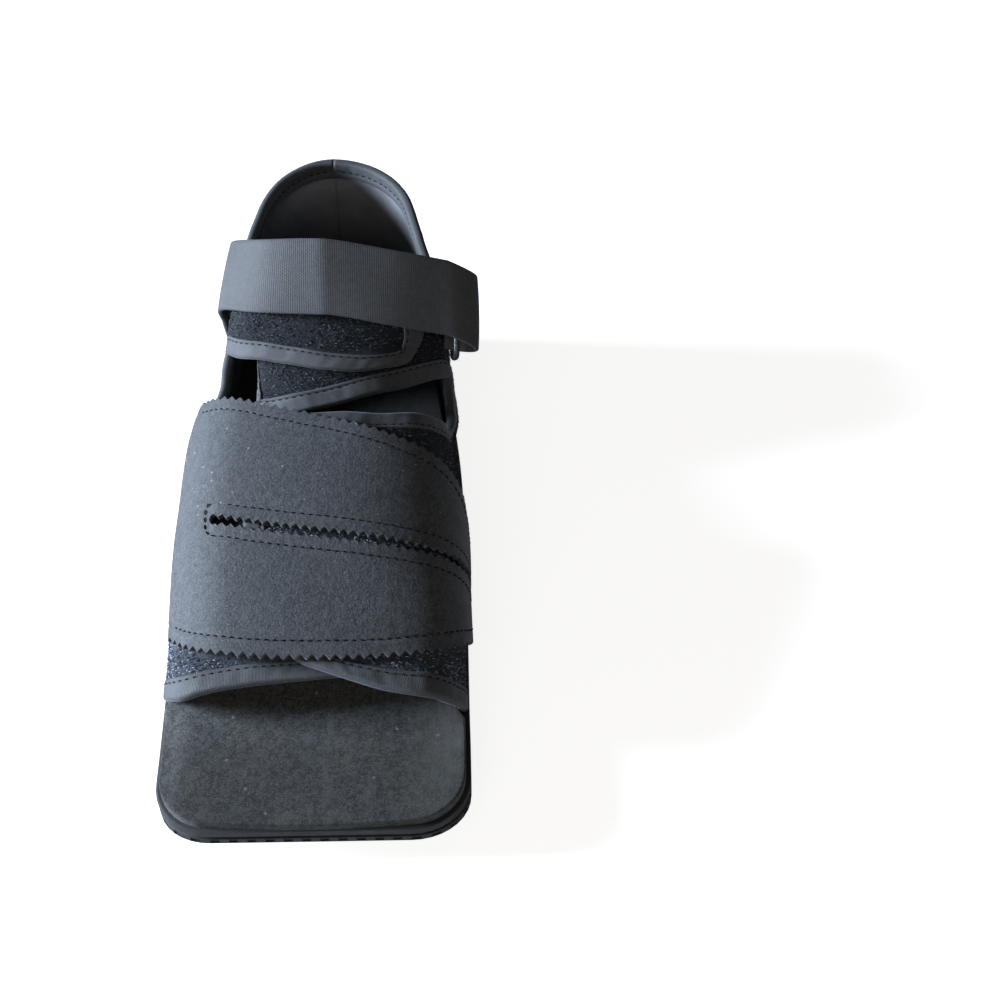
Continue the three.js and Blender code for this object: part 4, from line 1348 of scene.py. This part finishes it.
def pile_places(side, grids, rng):
    """Places of the pile in rows along the panel's edges, with the outward way and the row's way"""
    flats = panel_uv(grids)
    share = np.array([flat[-1, -1].prod() for flat in flats])
    found = []
    for grid, flat, part in zip(grids, flats, share / share.sum()):
        count = int(part * PILE_LOOPS * PILE_TRIES)
        rows = flat[:, 0, 0]
        columns = flat[0, :, 1]
        row = np.floor(rng.random(count) * rows[-1] / PILE_PITCH) + 0.5
        row = row + rng.normal(0, PILE_SCATTER, count)
        i = np.interp(row * PILE_PITCH, rows, np.arange(len(rows)))
        j = np.interp(rng.random(count) * columns[-1], columns, np.arange(len(columns)))
        i_after = np.minimum(i + 0.5, len(rows) - 1)
        j_after = np.minimum(j + 0.5, len(columns) - 1)
        across = grid_at(grid, i_after, j) - grid_at(grid, np.maximum(i - 0.5, 0), j)
        along = grid_at(grid, i, j_after) - grid_at(grid, i, np.maximum(j - 0.5, 0))
        out = unit(np.cross(across, along)) * side
        found.append(np.stack([grid_at(grid, i, j), out, unit(along)], axis=1))
    return rng.permutation(np.concatenate(found))


def open_places(side, found):
    """The places that neither a tape nor another sheet covers"""
    edge = free_edge(side)[0]
    tape = KDTree(len(edge))
    for k, point in enumerate(edge):
        tape.insert(point, k)
    tape.balance()
    cover = tree_of([strap_band("low"), strap_band("high"), *panel_grids(-side)], False)
    kept = []
    for place, out, along in found:
        if tape.find(place)[2] < sizes().tape_width / MM - 0.2 or place[2] < BASE_Z + 1:
            continue
        if cover.ray_cast(Vector(place + out), Vector(out), COVER_REACH)[0] is None:
            kept.append((place, out, along))
        if len(kept) == PILE_LOOPS:
            break
    return np.array(kept)


def pile_piece(side, material):
    """Small bent threads all over the open face of a panel, as one piece"""
    rng = np.random.default_rng(PILE_SEED + side)
    kept = open_places(side, pile_places(side, panel_grids(side), rng))
    place, out, along = kept[:, 0], kept[:, 1], kept[:, 2]
    count = len(kept)
    turn = rng.normal(0, PILE_TURN, count)[:, None]
    way = unit(along * np.cos(turn) + np.cross(out, along) * np.sin(turn))
    aside = np.cross(out, way)
    span = rng.uniform(*PILE_SPAN, count)[:, None]
    height = rng.uniform(*PILE_HEIGHT, count)[:, None]
    lean = rng.normal(0, PILE_LEAN, count)[:, None]
    rings = []
    for step, rise in PILE_ARC:
        middle = place + way * step * span + out * (PILE_BED + rise * height) + aside * lean * rise
        for angle in (0.0, 2.1, 4.2):
            rings.append(middle + (aside * math.cos(angle) + out * math.sin(angle)) * PILE_RADIUS)
    verts = np.stack(rings, axis=1).reshape(-1, 3) * MM
    thread = []
    for low in range(0, len(rings) - PILE_SIDES, PILE_SIDES):
        for k in range(PILE_SIDES):
            onward = (k + 1) % PILE_SIDES
            thread.append((low + k, low + onward, low + PILE_SIDES + onward, low + PILE_SIDES + k))
    start = np.arange(count)[:, None, None] * len(rings)
    faces = (start + np.array(thread)).reshape(-1, 4).tolist()
    for end in ((2, 1, 0), tuple(range(len(rings) - PILE_SIDES, len(rings)))):
        faces += (start[:, 0] + np.array(end)).tolist()
    piece = closed_piece(f"{side_name(side)}_panel_pile", verts, faces, material)
    shade = piece.data.attributes.new("shade", "FLOAT", "POINT")
    shade.data.foreach_set("value", np.repeat(rng.random(count), len(rings)).astype(np.float32))
    return piece


# Binding tapes

TAPE_STEP = 1.2
TAPE_COLUMNS = (0.5, 1.6, 2.6, 3.3, 4.0, 4.7, 5.2, 5.6, 6.1)
TAPE_FIRST = 0.05
TAPE_GAP = 0.05
TAPE_CALM = 1.3
TAPE_WAVE = 0.12
TAPE_NOSE = 1.0
OUTER = 1
INNER = -1
SEAM_COLUMN = {OUTER: 6, INNER: 3}
SEAM_DIP = 0.28
SEAM_LIFT = 0.12
INNER_RIDGE = 0.45
NOSE_ANGLES = (90, 55, 20, -20, -55, -90)


def pinned_blur(line, reach):
    """A calmer line of points whose ends stay where they were"""
    calm = blurred(line, reach)
    calm[[0, -1]] = line[[0, -1]]
    return calm


def tape_lines(side):
    """The bound edge in even steps, the way into the cloth, and places on the cloth under the tape"""
    edge, inward = free_edge(side)
    arc = arc_lengths(edge)
    lengths = np.linspace(0, arc[-1], int(arc[-1] / TAPE_STEP) + 1)
    line = pinned_blur(interpolated(edge, arc, lengths), 2)
    way = unit(blurred(interpolated(inward, arc, lengths), 3))
    tree = tree_of(panel_grids(side), side == LEFT)
    columns = []
    for depth in (TAPE_FIRST, *TAPE_COLUMNS, sizes().tape_width / MM):
        place, normal = laid_on(tree, pinned_blur(line + way * depth, 1 + int(depth / TAPE_CALM)))
        columns.append((place, unit(blurred(normal, 2))))
    return line, way, lengths, columns


def tape_grid(line, way, lengths, columns, off):
    """The folded tape: its outer face, the nose round the edge and its inner face"""
    wave = TAPE_WAVE * np.sin(lengths * 0.9) * np.sin(lengths * 0.23 + 1.0)
    legs = {}
    for face, seam in SEAM_COLUMN.items():
        legs[face] = []
        for k, (place, normal) in enumerate(columns[1:]):
            dip = SEAM_DIP if k == seam else 0.0
            ridge = INNER_RIDGE if face == INNER and k > seam + 1 else 0.0
            puff = (off - dip + ridge + wave * (k < seam))[:, None]
            legs[face].append(place + normal * face * puff)
    facing = columns[0][1]
    nose = []
    for angle in np.radians(NOSE_ANGLES):
        nose.append(line - way * (TAPE_NOSE * math.cos(angle)) + facing * off * math.sin(angle))
    return np.stack([*legs[OUTER][::-1], *nose, *legs[INNER]], axis=1)


class SHOE_OT_bindings(bpy.types.Operator):
    """Folded tape sewn round the free edges of both panels"""

    bl_idname = "shoe.bindings"
    bl_label = "Binding tapes"

    def execute(self, context):
        off = (sizes().panel / 2 + sizes().tape / 2) / MM + TAPE_GAP
        for side in (LEFT, RIGHT):
            name = side_name(side)
            line, way, lengths, columns = tape_lines(side)
            grid = tape_grid(line, way, lengths, columns, off)
            across = running(np.linalg.norm(np.diff(grid, axis=1), axis=2).mean(axis=0))
            uv = flat_uv(lengths, across)
            tape = sheet_piece(f"{name}_binding", [grid], [uv], side == RIGHT, [finish_of("tape")])
            modify(tape, "SOLIDIFY", thickness=sizes().tape, offset=0.0)
            bpy.ops.object.shade_smooth()
            finish_piece(tape, "binding_tape", f"binding_{name}")
            runs = []
            for face, seam in SEAM_COLUMN.items():
                place, normal = columns[1 + seam]
                runs.append((place + normal * face * (off + SEAM_LIFT), normal * face))
            stitch_piece(f"{name}_binding_stitches", runs, "binding_tape")
        return {"FINISHED"}


# Forefoot strap

STRAP_COLUMNS = 340
EDGE_ROWS = (0, 0.7, 1.4, 2.2, 3.1, 3.9, 4.3, 4.6, 4.9, 5.3, 6.1, 7.6, 10.0)
MIDDLE_ROWS = 10
FLARE_Q = (1.25, 1.7)
FLARE_U = (0.6, 1.05)
U_STEP = 0.01
SEAM_DEEP = 4.6
SEAM_GROOVE = ((-1, 0.16), (0, 0.34), (1, 0.16))
SEAM_SPAN = (0.02, 0.975)
STRAP_STITCH_LIFT = 0.22
TURN_STITCH_LIFT = 0.1
TEETH = {"low": 3.9, "high": 3.8, "slit": 3.4}
SLIT_TOOTH = 1.5
HIGH_TOOTH = 0.85
TOOTH_FADE = 3.0
SLIT_HALF = 2.3
SLIT_ROUND = 0.022
SLIT_SEAM = 4.3
SLIT_TURN = 0.055
SLIT_LIP = 0.5
EDGE_RIPPLE = 0.15
STRAP_SWELL = 0.35
STRAP_MERGE = 0.00012


def strap_at(u, q):
    """Place on the forefoot strap, lifted over the flaps under it"""
    over = smooth(q, *STRAP_RISE) * (1 - smooth(q, *STRAP_FALL))
    flare = STRAP_FLARE * smooth(q, *FLARE_Q) * smooth(u, *FLARE_U)
    return lifted(forefoot_at, RIGHT, u, q, mix(*STRAP_LIFT, over) + flare)


def tooth_wave(arc, pitch):
    """A zigzag from 0 at the valleys to 1 at the tips"""
    return 1 - np.abs(2 * np.mod(arc / pitch, 1) - 1)


def strap_edge_u(edge, q):
    """Place along the arches of a named edge of the strap"""
    return read(STRAP_EDGES, "q", edge, q)


def per_u(q, u):
    """Millimetres on the strap for one whole step of u"""
    return np.linalg.norm(strap_at(u + U_STEP, q) - strap_at(u - U_STEP, q), axis=-1) / (2 * U_STEP)


def strap_band(outer):
    """Grid of one half of the strap: columns along it, rows across from its outer edge to the slit"""
    low = outer == "low"
    sign = 1 if low else -1
    c = np.linspace(0, 1, STRAP_COLUMNS + 1)
    end_outer, end_slit = read(STRAP_END, "share", "q", (0 if low else 1, SLIT_SHARE))
    q_outer = mix(STRAP_ROOT_Q, end_outer, c)
    q_slit = mix(STRAP_ROOT_Q, end_slit, c)
    u_outer = strap_edge_u(outer, q_outer)
    u_slit = strap_edge_u("slit", q_slit)
    per_outer = per_u(q_outer, u_outer)
    per_slit = per_u(q_slit, u_slit)

    # Teeth of the outer edge, and of the slit, whose end is round
    tooth = tooth_wave(arc_lengths(strap_at(u_outer, q_outer)), TEETH[outer])
    tooth = sizes().tooth / MM * (1.0 if low else HIGH_TOOTH) * tooth
    open_c = np.clip((SLIT_END - c) / SLIT_ROUND, 0, 1)
    opening = SLIT_HALF * np.sqrt(1 - (1 - open_c) ** 2)
    slit_arc = arc_lengths(strap_at(u_slit, q_slit)) + (0 if low else TEETH["slit"] / 2)
    slit_tooth = SLIT_TOOTH * tooth_wave(slit_arc, TEETH["slit"]) * smooth(open_c, 0.6, 1.0)
    u_near = u_outer - sign * tooth / per_outer
    u_calm = u_slit - sign * opening / per_slit
    u_far = u_slit - sign * (opening - slit_tooth) / per_slit

    # Rows are close together at both edges, and the teeth fade out inward
    width = (np.abs(u_far - u_near) * (per_outer + per_slit) / 2)[:, None]
    edge_rows = np.array(EDGE_ROWS)
    near = edge_rows / width
    far = 1 - (edge_rows[::-1] - SEAM_DEEP + SLIT_SEAM).clip(0) / width
    middle = mix(near[:, -1:], far[:, :1], np.linspace(0, 1, MIDDLE_ROWS + 2)[1:-1])
    r = np.concatenate([near, middle, far], axis=1)
    fade = np.zeros(r.shape[1])
    fade[: len(edge_rows)] = 1 - np.minimum(edge_rows / TOOTH_FADE, 1)
    near_shift = (u_near - u_outer)[:, None] * fade
    far_shift = (u_far - u_calm)[:, None] * fade[::-1]
    u = mix(u_outer[:, None], u_calm[:, None], r) + near_shift + far_shift
    return strap_at(u, mix(q_outer[:, None], q_slit[:, None], r))


def upward_normals(grid):
    """Normals of a grid, on the side that faces up at its middle"""
    normal = unit(np.cross(np.gradient(grid, axis=0), np.gradient(grid, axis=1)))
    return normal if normal[len(grid) // 2, grid.shape[1] // 2, 2] > 0 else -normal


class SHOE_OT_forefoot_strap(bpy.types.Operator):
    """Wide nubuck strap with pinked edges and a long pinked slit"""

    bl_idname = "shoe.forefoot_strap"
    bl_label = "Forefoot strap"

    def execute(self, context):
        thick = sizes().nubuck / MM
        grids = []
        runs = []
        for outer in ("low", "high"):
            grid, seams = self.half(strap_band(outer), thick)
            grids.append(grid if outer == "low" else grid[:, ::-1])
            runs += seams
        runs.append(self.slit_turn(thick))
        uvs = [grid[..., :2] for grid in grids]
        strap = sheet_piece("nubuck_strap", grids, uvs, True, [finish_of("nubuck")], STRAP_MERGE)
        modify(strap, "SOLIDIFY", thickness=sizes().nubuck, offset=0.0)
        bpy.ops.object.shade_smooth_by_angle(angle=math.radians(40))
        finish_piece(strap, "strap_nubuck", "forefoot_strap")
        stitch_piece("forefoot_strap_stitches", runs, "strap_nubuck")
        return {"FINISHED"}

    def half(self, grid, thick):
        """One half of the strap with sunk seams, soft swells and raised lips, and its seams"""
        normal = upward_normals(grid)
        c = np.linspace(0, 1, STRAP_COLUMNS + 1)
        rows = len(EDGE_ROWS)
        outer_line = EDGE_ROWS.index(SEAM_DEEP)
        slit_line = grid.shape[1] - 1 - outer_line
        x, y = grid[..., 0], grid[..., 1]
        relief = STRAP_SWELL * np.sin(0.09 * x + 0.05 * y) * np.sin(0.07 * y + 0.8)
        for k, depth in SEAM_GROOVE:
            relief[:, outer_line + k] -= depth
            relief[:, slit_line + k] -= depth * (c < SLIT_END - SLIT_ROUND)
        lip = np.zeros(grid.shape[:2])
        at_slit = 1 - smooth(c, SLIT_END - 0.02, SLIT_END)
        lip[:, -rows:] = SLIT_LIP * np.linspace(0, 1, rows) ** 2 * at_slit[:, None]
        lip[:, :rows] += EDGE_RIPPLE * np.linspace(1, 0, rows) ** 2 * np.sin(c * 37)[:, None]
        relief += lip * smooth(c, 0.0, 0.1)[:, None]
        grid = grid + normal * relief[..., None]
        seams = []
        first, last = SEAM_SPAN
        for row, stop in ((outer_line, last), (slit_line, SLIT_END - SLIT_ROUND)):
            inside = (c > first) & (c < stop)
            facing = normal[inside, row]
            seams.append((grid[inside, row] + facing * (thick / 2 + STRAP_STITCH_LIFT), facing))
        return grid, seams

    def slit_turn(self, thick):
        """The seam's turn round the closed end of the slit, as a line and its normals"""
        end_q = float(read(STRAP_END, "share", "q", SLIT_SHARE))
        start = mix(STRAP_ROOT_Q, end_q, SLIT_END - SLIT_ROUND)
        angle = np.radians(np.linspace(-90, 90, 25))
        q = start + SLIT_TURN * np.abs(np.cos(angle)) ** 0.6
        aside = np.sign(np.sin(angle)) * np.abs(np.sin(angle)) ** 0.6 * (SLIT_HALF + SLIT_SEAM)
        middle = strap_edge_u("slit", q)
        u = middle + aside / per_u(q, middle)
        along = strap_at(u + SURFACE_STEP, q) - strap_at(u - SURFACE_STEP, q)
        across = strap_at(u, q + SURFACE_STEP) - strap_at(u, q - SURFACE_STEP)
        normal = unit(np.cross(along, across))
        normal = np.where(normal[:, 2:] < 0, -normal, normal)
        return strap_at(u, q) + normal * (thick / 2 + TURN_STITCH_LIFT), normal


# Ankle webbing

ANKLE_STEPS = 14
WEB_COLUMNS = 14
ROOT_BOX = (3.0, 24.0)
ROOT_STITCH_LIFT = 0.1
WEB_BOW = 0.5
WEB_RIPPLE = 0.18
WEB_ROUND = 0.0005


def ankle_edges():
    """Both edges of the ankle webbing, with its loose fold round the ring and its tail"""
    edges = []
    for route in (ANKLE_LOW, ANKLE_HIGH):
        stations = np.array(route, float)
        s = np.linspace(0, len(stations) - 1, (len(stations) - 1) * ANKLE_STEPS + 1)
        line = between_stations(stations, s)
        line = list(line[line[:, 0] < ANKLE_FOLD_FROM_X - 1])
        before, last = stations[-2:]
        reach = ANKLE_FOLD_X - ANKLE_FOLD_FROM_X
        turn = [(ANKLE_FOLD_FROM_X + reach * math.cos(a), (1 + math.sin(a)) / 2)
                for a in np.radians(np.linspace(-90, 90, 21))]
        tail = [(x, 1.0) for x in np.linspace(ANKLE_FOLD_FROM_X, ANKLE_TAIL_X, 3)[1:]]
        for x, share in turn + tail:
            level = mix(before, last, (x - before[0]) / (last[0] - before[0]))
            inward = RING_INWARD * ANKLE_FOLD_GAP * share
            line.append(level + inward - RING_ALONG * ANKLE_SKEW * math.sqrt(share))
        edges.append(np.array(line))
    return edges


class SHOE_OT_ankle_strap(bpy.types.Operator):
    """Ribbed webbing over the instep, folded round the ring"""

    bl_idname = "shoe.ankle_strap"
    bl_label = "Ankle strap"

    def execute(self, context):
        low, high = ankle_edges()
        t = np.linspace(0, 1, WEB_COLUMNS + 1)
        grid = mix(low[:, None], high[:, None], t[None, :, None])
        normal = upward_normals(grid)
        arc = arc_lengths((low + high) / 2)
        across = 2 * t - 1
        bow = WEB_BOW * (1 - across**2) + WEB_RIPPLE * np.sin(arc * 0.16)[:, None] * across
        grid = grid + normal * bow[..., None]
        width = float(np.linalg.norm(high - low, axis=1).mean())
        uv = flat_uv(arc, t * width)
        strap = sheet_piece("ankle_webbing", [grid], [uv], False, [finish_of("webbing")])
        modify(strap, "SOLIDIFY", thickness=sizes().webbing, offset=0.0)
        modify(strap, "BEVEL", width=WEB_ROUND, segments=2, limit_method="ANGLE",
               angle_limit=math.radians(50))
        bpy.ops.object.shade_smooth_by_angle(angle=math.radians(50))
        finish_piece(strap, "webbing", "ankle_strap")
        self.sew_root(grid, normal, arc)
        return {"FINISHED"}

    def sew_root(self, grid, normal, arc):
        """A sewn box that holds the webbing to the left panel"""
        raised = grid + normal * (sizes().webbing / 2 / MM + ROOT_STITCH_LIFT)
        first, last = np.searchsorted(arc, ROOT_BOX)
        near = 1
        far = WEB_COLUMNS - 1
        runs = []
        for column in (near, far):
            runs.append((raised[first : last + 1, column], normal[first : last + 1, column]))
        for row in (first, last):
            runs.append((raised[row, near : far + 1], normal[row, near : far + 1]))
        rows = np.arange(first, last + 1, dtype=float)
        for way in (1, -1):
            columns = np.linspace(near, far, len(rows))[::way]
            runs.append((grid_at(raised, rows, columns), unit(grid_at(normal, rows, columns))))
        stitch_piece("ankle_webbing_stitches", runs, "webbing")


# Ring and tab

RING_SIDES = 16
RING_TURN_STEPS = 8
TAB_OUTER = ((18.5, -1.6), (12.0, -2.0), (5.0, -2.1))
TAB_INNER = ((5.0, 1.2), (9.0, -0.2), (12.0, -0.6), (18.5, -0.3))
TAB_PLAY = 0.95
TAB_TURN = (-100, -260)
TAB_SPAN = (8.5, 30.5)
TAB_LAYERS = (2.2, 3.5)
TAB_SETTLE = (4, 11)
TAB_OUT = np.array((1.0, 0, 0))
OUTSIDE_REACH = 30
OUTER_WALL_X = 35


class SHOE_OT_ring(bpy.types.Operator):
    """Long glossy loop that the webbing folds through"""

    bl_idname = "shoe.ring"
    bl_label = "Strap ring"

    def execute(self, context):
        bpy.ops.object.select_all(action="DESELECT")
        wire = sizes().ring_wire / 2
        across = unit(RING_FREE_BAR - RING_TAB_BAR)
        half_across = np.linalg.norm(RING_FREE_BAR - RING_TAB_BAR) / 2 * MM
        half_long = RING_LENGTH / 2 * MM - wire
        corner = RING_CORNER * MM
        bpy.ops.mesh.primitive_circle_add(
            vertices=RING_SIDES, radius=wire, location=(half_across, 0, 0), rotation=(math.pi / 2, 0, 0))
        ring = bpy.context.object
        ring.name = "strap_loop"
        bpy.ops.object.transform_apply(location=True, rotation=True, scale=True)
        bpy.ops.object.mode_set(mode="EDIT")
        bpy.ops.mesh.select_all(action="SELECT")
        long_run = half_long - corner
        short_run = half_across - corner
        runs = ((0, long_run, 0), (-2 * short_run, 0, 0), (0, -2 * long_run, 0), (2 * short_run, 0, 0))
        centres = ((1, 1), (-1, 1), (-1, -1), (1, -1))
        for run, (sx, sy) in zip(runs, centres):
            bpy.ops.mesh.extrude_region_move(TRANSFORM_OT_translate={"value": run})
            centre = (sx * short_run, sy * long_run, 0)
            bpy.ops.mesh.spin(steps=RING_TURN_STEPS, angle=-math.pi / 2, center=centre, axis=(0, 0, 1))
        bpy.ops.mesh.extrude_region_move(TRANSFORM_OT_translate={"value": (0, long_run, 0)})
        bpy.ops.mesh.select_all(action="SELECT")
        bpy.ops.mesh.remove_doubles(threshold=0.00002)
        bpy.ops.mesh.normals_make_consistent(inside=False)
        bpy.ops.object.mode_set(mode="OBJECT")
        middle = (RING_FREE_BAR + RING_TAB_BAR) / 2 + RING_ALONG * RING_LENGTH / 2
        axes = Matrix(np.column_stack((across, RING_ALONG, np.cross(across, RING_ALONG))).tolist())
        ring.data.transform(Matrix.Translation(Vector(middle * MM)) @ axes.to_4x4())
        activate(ring)
        bpy.ops.object.shade_smooth()
        ring.data.materials.append(finish_of("ring"))
        finish_piece(ring, "ring_plastic", "strap_ring")
        return {"FINISHED"}


class SHOE_OT_tab(bpy.types.Operator):
    """Short webbing tab that holds the ring to the right panel"""

    bl_idname = "shoe.tab"
    bl_label = "Ring tab"

    def execute(self, context):
        bore = sizes().ring_wire / 2 / MM + TAB_PLAY
        turn = np.radians(np.linspace(*TAB_TURN, 15))
        round_bar = [(bore * math.cos(angle), bore * math.sin(angle)) for angle in turn]
        profile = [*TAB_OUTER, *round_bar, *TAB_INNER]
        line = np.array([RING_TAB_BAR + RING_INWARD * deep + TAB_OUT * x for deep, x in profile])
        line = between_stations(line, np.linspace(0, len(line) - 1, (len(line) - 1) * 3 + 1))
        across = np.linspace(*TAB_SPAN, 12)
        grid = line[:, None] + RING_ALONG * across[None, :, None]
        settle = smooth((line - RING_TAB_BAR) @ RING_INWARD, *TAB_SETTLE)
        layer = np.where(np.arange(len(line)) < len(line) // 2, *TAB_LAYERS)
        panel = tree_of(panel_grids(RIGHT), False)
        for i, j in np.ndindex(grid.shape[:2]):
            hit = panel.ray_cast(Vector(grid[i, j] + TAB_OUT * OUTSIDE_REACH), Vector(-TAB_OUT))[0]
            if hit is not None and hit.x > OUTER_WALL_X:
                grid[i, j, 0] = mix(grid[i, j, 0], hit.x + layer[i], settle[i])
        arc = arc_lengths(line)
        uv = flat_uv(arc, across)
        tab = sheet_piece("ring_webbing_tab", [grid], [uv], True, [finish_of("webbing")])
        modify(tab, "SOLIDIFY", thickness=sizes().tab, offset=0.0)
        bpy.ops.object.shade_smooth_by_angle(angle=math.radians(50))
        finish_piece(tab, "webbing", "ring_tab")
        return {"FINISHED"}


# Stage

CAMERA_AZIMUTH = -1.40
CAMERA_ELEVATION = 46.01
CAMERA_DISTANCE = 0.56749
CAMERA_TARGET = (0.06572, 0.00359, 0.03)
CAMERA_ROLL = 0.26
CAMERA_LENS = 51.76
LIGHT_TARGET = (0, 0, 0.05)
LIGHTS = (
    {"name": "window_light", "place": (-1.5, 0.0, 0.52), "size": 0.5, "power": 80,
     "tint": (0.72, 0.835, 1.0)},
    {"name": "front_fill", "place": (-0.1, -1.4, 1.0), "size": 1.2, "power": 5,
     "tint": (1.0, 0.93, 0.84)},
)
SKY_STRENGTH = (0.04, 0.88)
FLOOR_SIZE = 12


def add_light(name, place, size, power, tint):
    """A soft square light that faces the shoe"""
    data = bpy.data.lights.new(name, "AREA")
    data.shape = "SQUARE"
    data.size = size
    data.energy = power
    data.color = tint
    light = bpy.data.objects.new(name, data)
    light.location = place
    light.rotation_euler = (Vector(LIGHT_TARGET) - Vector(place)).to_track_quat("-Z", "Y").to_euler()
    bpy.context.scene.collection.objects.link(light)


class SHOE_OT_stage(bpy.types.Operator):
    """Pale floor, soft window-like light from the left and the camera"""

    bl_idname = "shoe.stage"
    bl_label = "Stage"

    def execute(self, context):
        bpy.ops.object.select_all(action="DESELECT")
        bpy.ops.mesh.primitive_grid_add(x_subdivisions=8, y_subdivisions=8, size=FLOOR_SIZE)
        floor = context.object
        floor.name = "floor"
        floor.data.materials.append(finish_of("floor"))
        floor.select_set(False)
        for light in LIGHTS:
            add_light(**light)
        self.sky(context.scene)
        self.camera(context.scene)
        context.scene.view_settings.view_transform = "Standard"
        return {"FINISHED"}

    def sky(self, scene):
        """A white backdrop that lights the shoe only a little"""
        world = bpy.data.worlds.new("backdrop")
        world.use_nodes = True
        tree = Tree(world.node_tree)
        seen = tree.node("ShaderNodeLightPath").outputs["Is Camera Ray"]
        background = world.node_tree.nodes["Background"].inputs
        tree.put(background["Color"], tree.blend(seen, (1.0, 0.98, 0.94, 1.0), grey(1.0)))
        tree.put(background["Strength"], tree.ramp(seen, 0.0, 1.0, *SKY_STRENGTH))
        scene.world = world

    def camera(self, scene):
        """The camera at the viewing angle"""
        azimuth, elevation, roll = np.radians((CAMERA_AZIMUTH, CAMERA_ELEVATION, CAMERA_ROLL))
        level = math.cos(elevation)
        back = np.array((math.sin(azimuth) * level, -math.cos(azimuth) * level, math.sin(elevation)))
        right = unit(np.cross(-back, (0, 0, 1)))
        up = np.cross(right, -back)
        turned_right = right * math.cos(roll) + up * math.sin(roll)
        turned_up = up * math.cos(roll) - right * math.sin(roll)
        data = bpy.data.cameras.new("camera")
        data.lens = CAMERA_LENS
        data.sensor_width = 36.0
        data.clip_start = 0.01
        camera = bpy.data.objects.new("camera", data)
        axes = Matrix(np.column_stack((turned_right, turned_up, back)).tolist())
        place = Vector(CAMERA_TARGET) + Vector(back) * CAMERA_DISTANCE
        camera.matrix_world = Matrix.Translation(place) @ axes.to_4x4()
        scene.collection.objects.link(camera)
        scene.camera = camera


class SHOE_PT_panel(bpy.types.Panel):
    """Lists the shoe's settings and pieces"""

    bl_idname = "SHOE_PT_panel"
    bl_label = "Postoperative shoe"
    bl_space_type = "VIEW_3D"
    bl_region_type = "UI"
    bl_category = "Shoe"

    def draw(self, context):
        settings = context.scene.shoe
        for group in (settings.sizes, settings.colours):
            for name in group.__annotations__:
                self.layout.prop(group, name)
        for operator in OPERATORS:
            self.layout.operator(operator.bl_idname)


OPERATORS = (
    SHOE_OT_stage,
    SHOE_OT_outsole,
    SHOE_OT_footbed,
    SHOE_OT_panels,
    SHOE_OT_bindings,
    SHOE_OT_forefoot_strap,
    SHOE_OT_ring,
    SHOE_OT_ankle_strap,
    SHOE_OT_tab,
)
CLASSES = (ShoeSizes, ShoeColours, ShoeSettings, *OPERATORS, SHOE_PT_panel)


def register():
    """Registers the classes and the scene's settings"""
    for item in CLASSES:
        bpy.utils.register_class(item)
    bpy.types.Scene.shoe = PointerProperty(type=ShoeSettings)


def unregister():
    """Takes the settings and classes away again"""
    del bpy.types.Scene.shoe
    for item in reversed(CLASSES):
        bpy.utils.unregister_class(item)


def main():
    """Makes every piece in order"""
    register()
    bpy.ops.object.select_all(action="DESELECT")
    bpy.ops.shoe.stage()
    bpy.ops.shoe.outsole()
    bpy.ops.shoe.footbed()
    bpy.ops.shoe.panels()
    bpy.ops.shoe.bindings()
    bpy.ops.shoe.forefoot_strap()
    bpy.ops.shoe.ring()
    bpy.ops.shoe.ankle_strap()
    bpy.ops.shoe.tab()


if __name__ == "__main__":
    main()
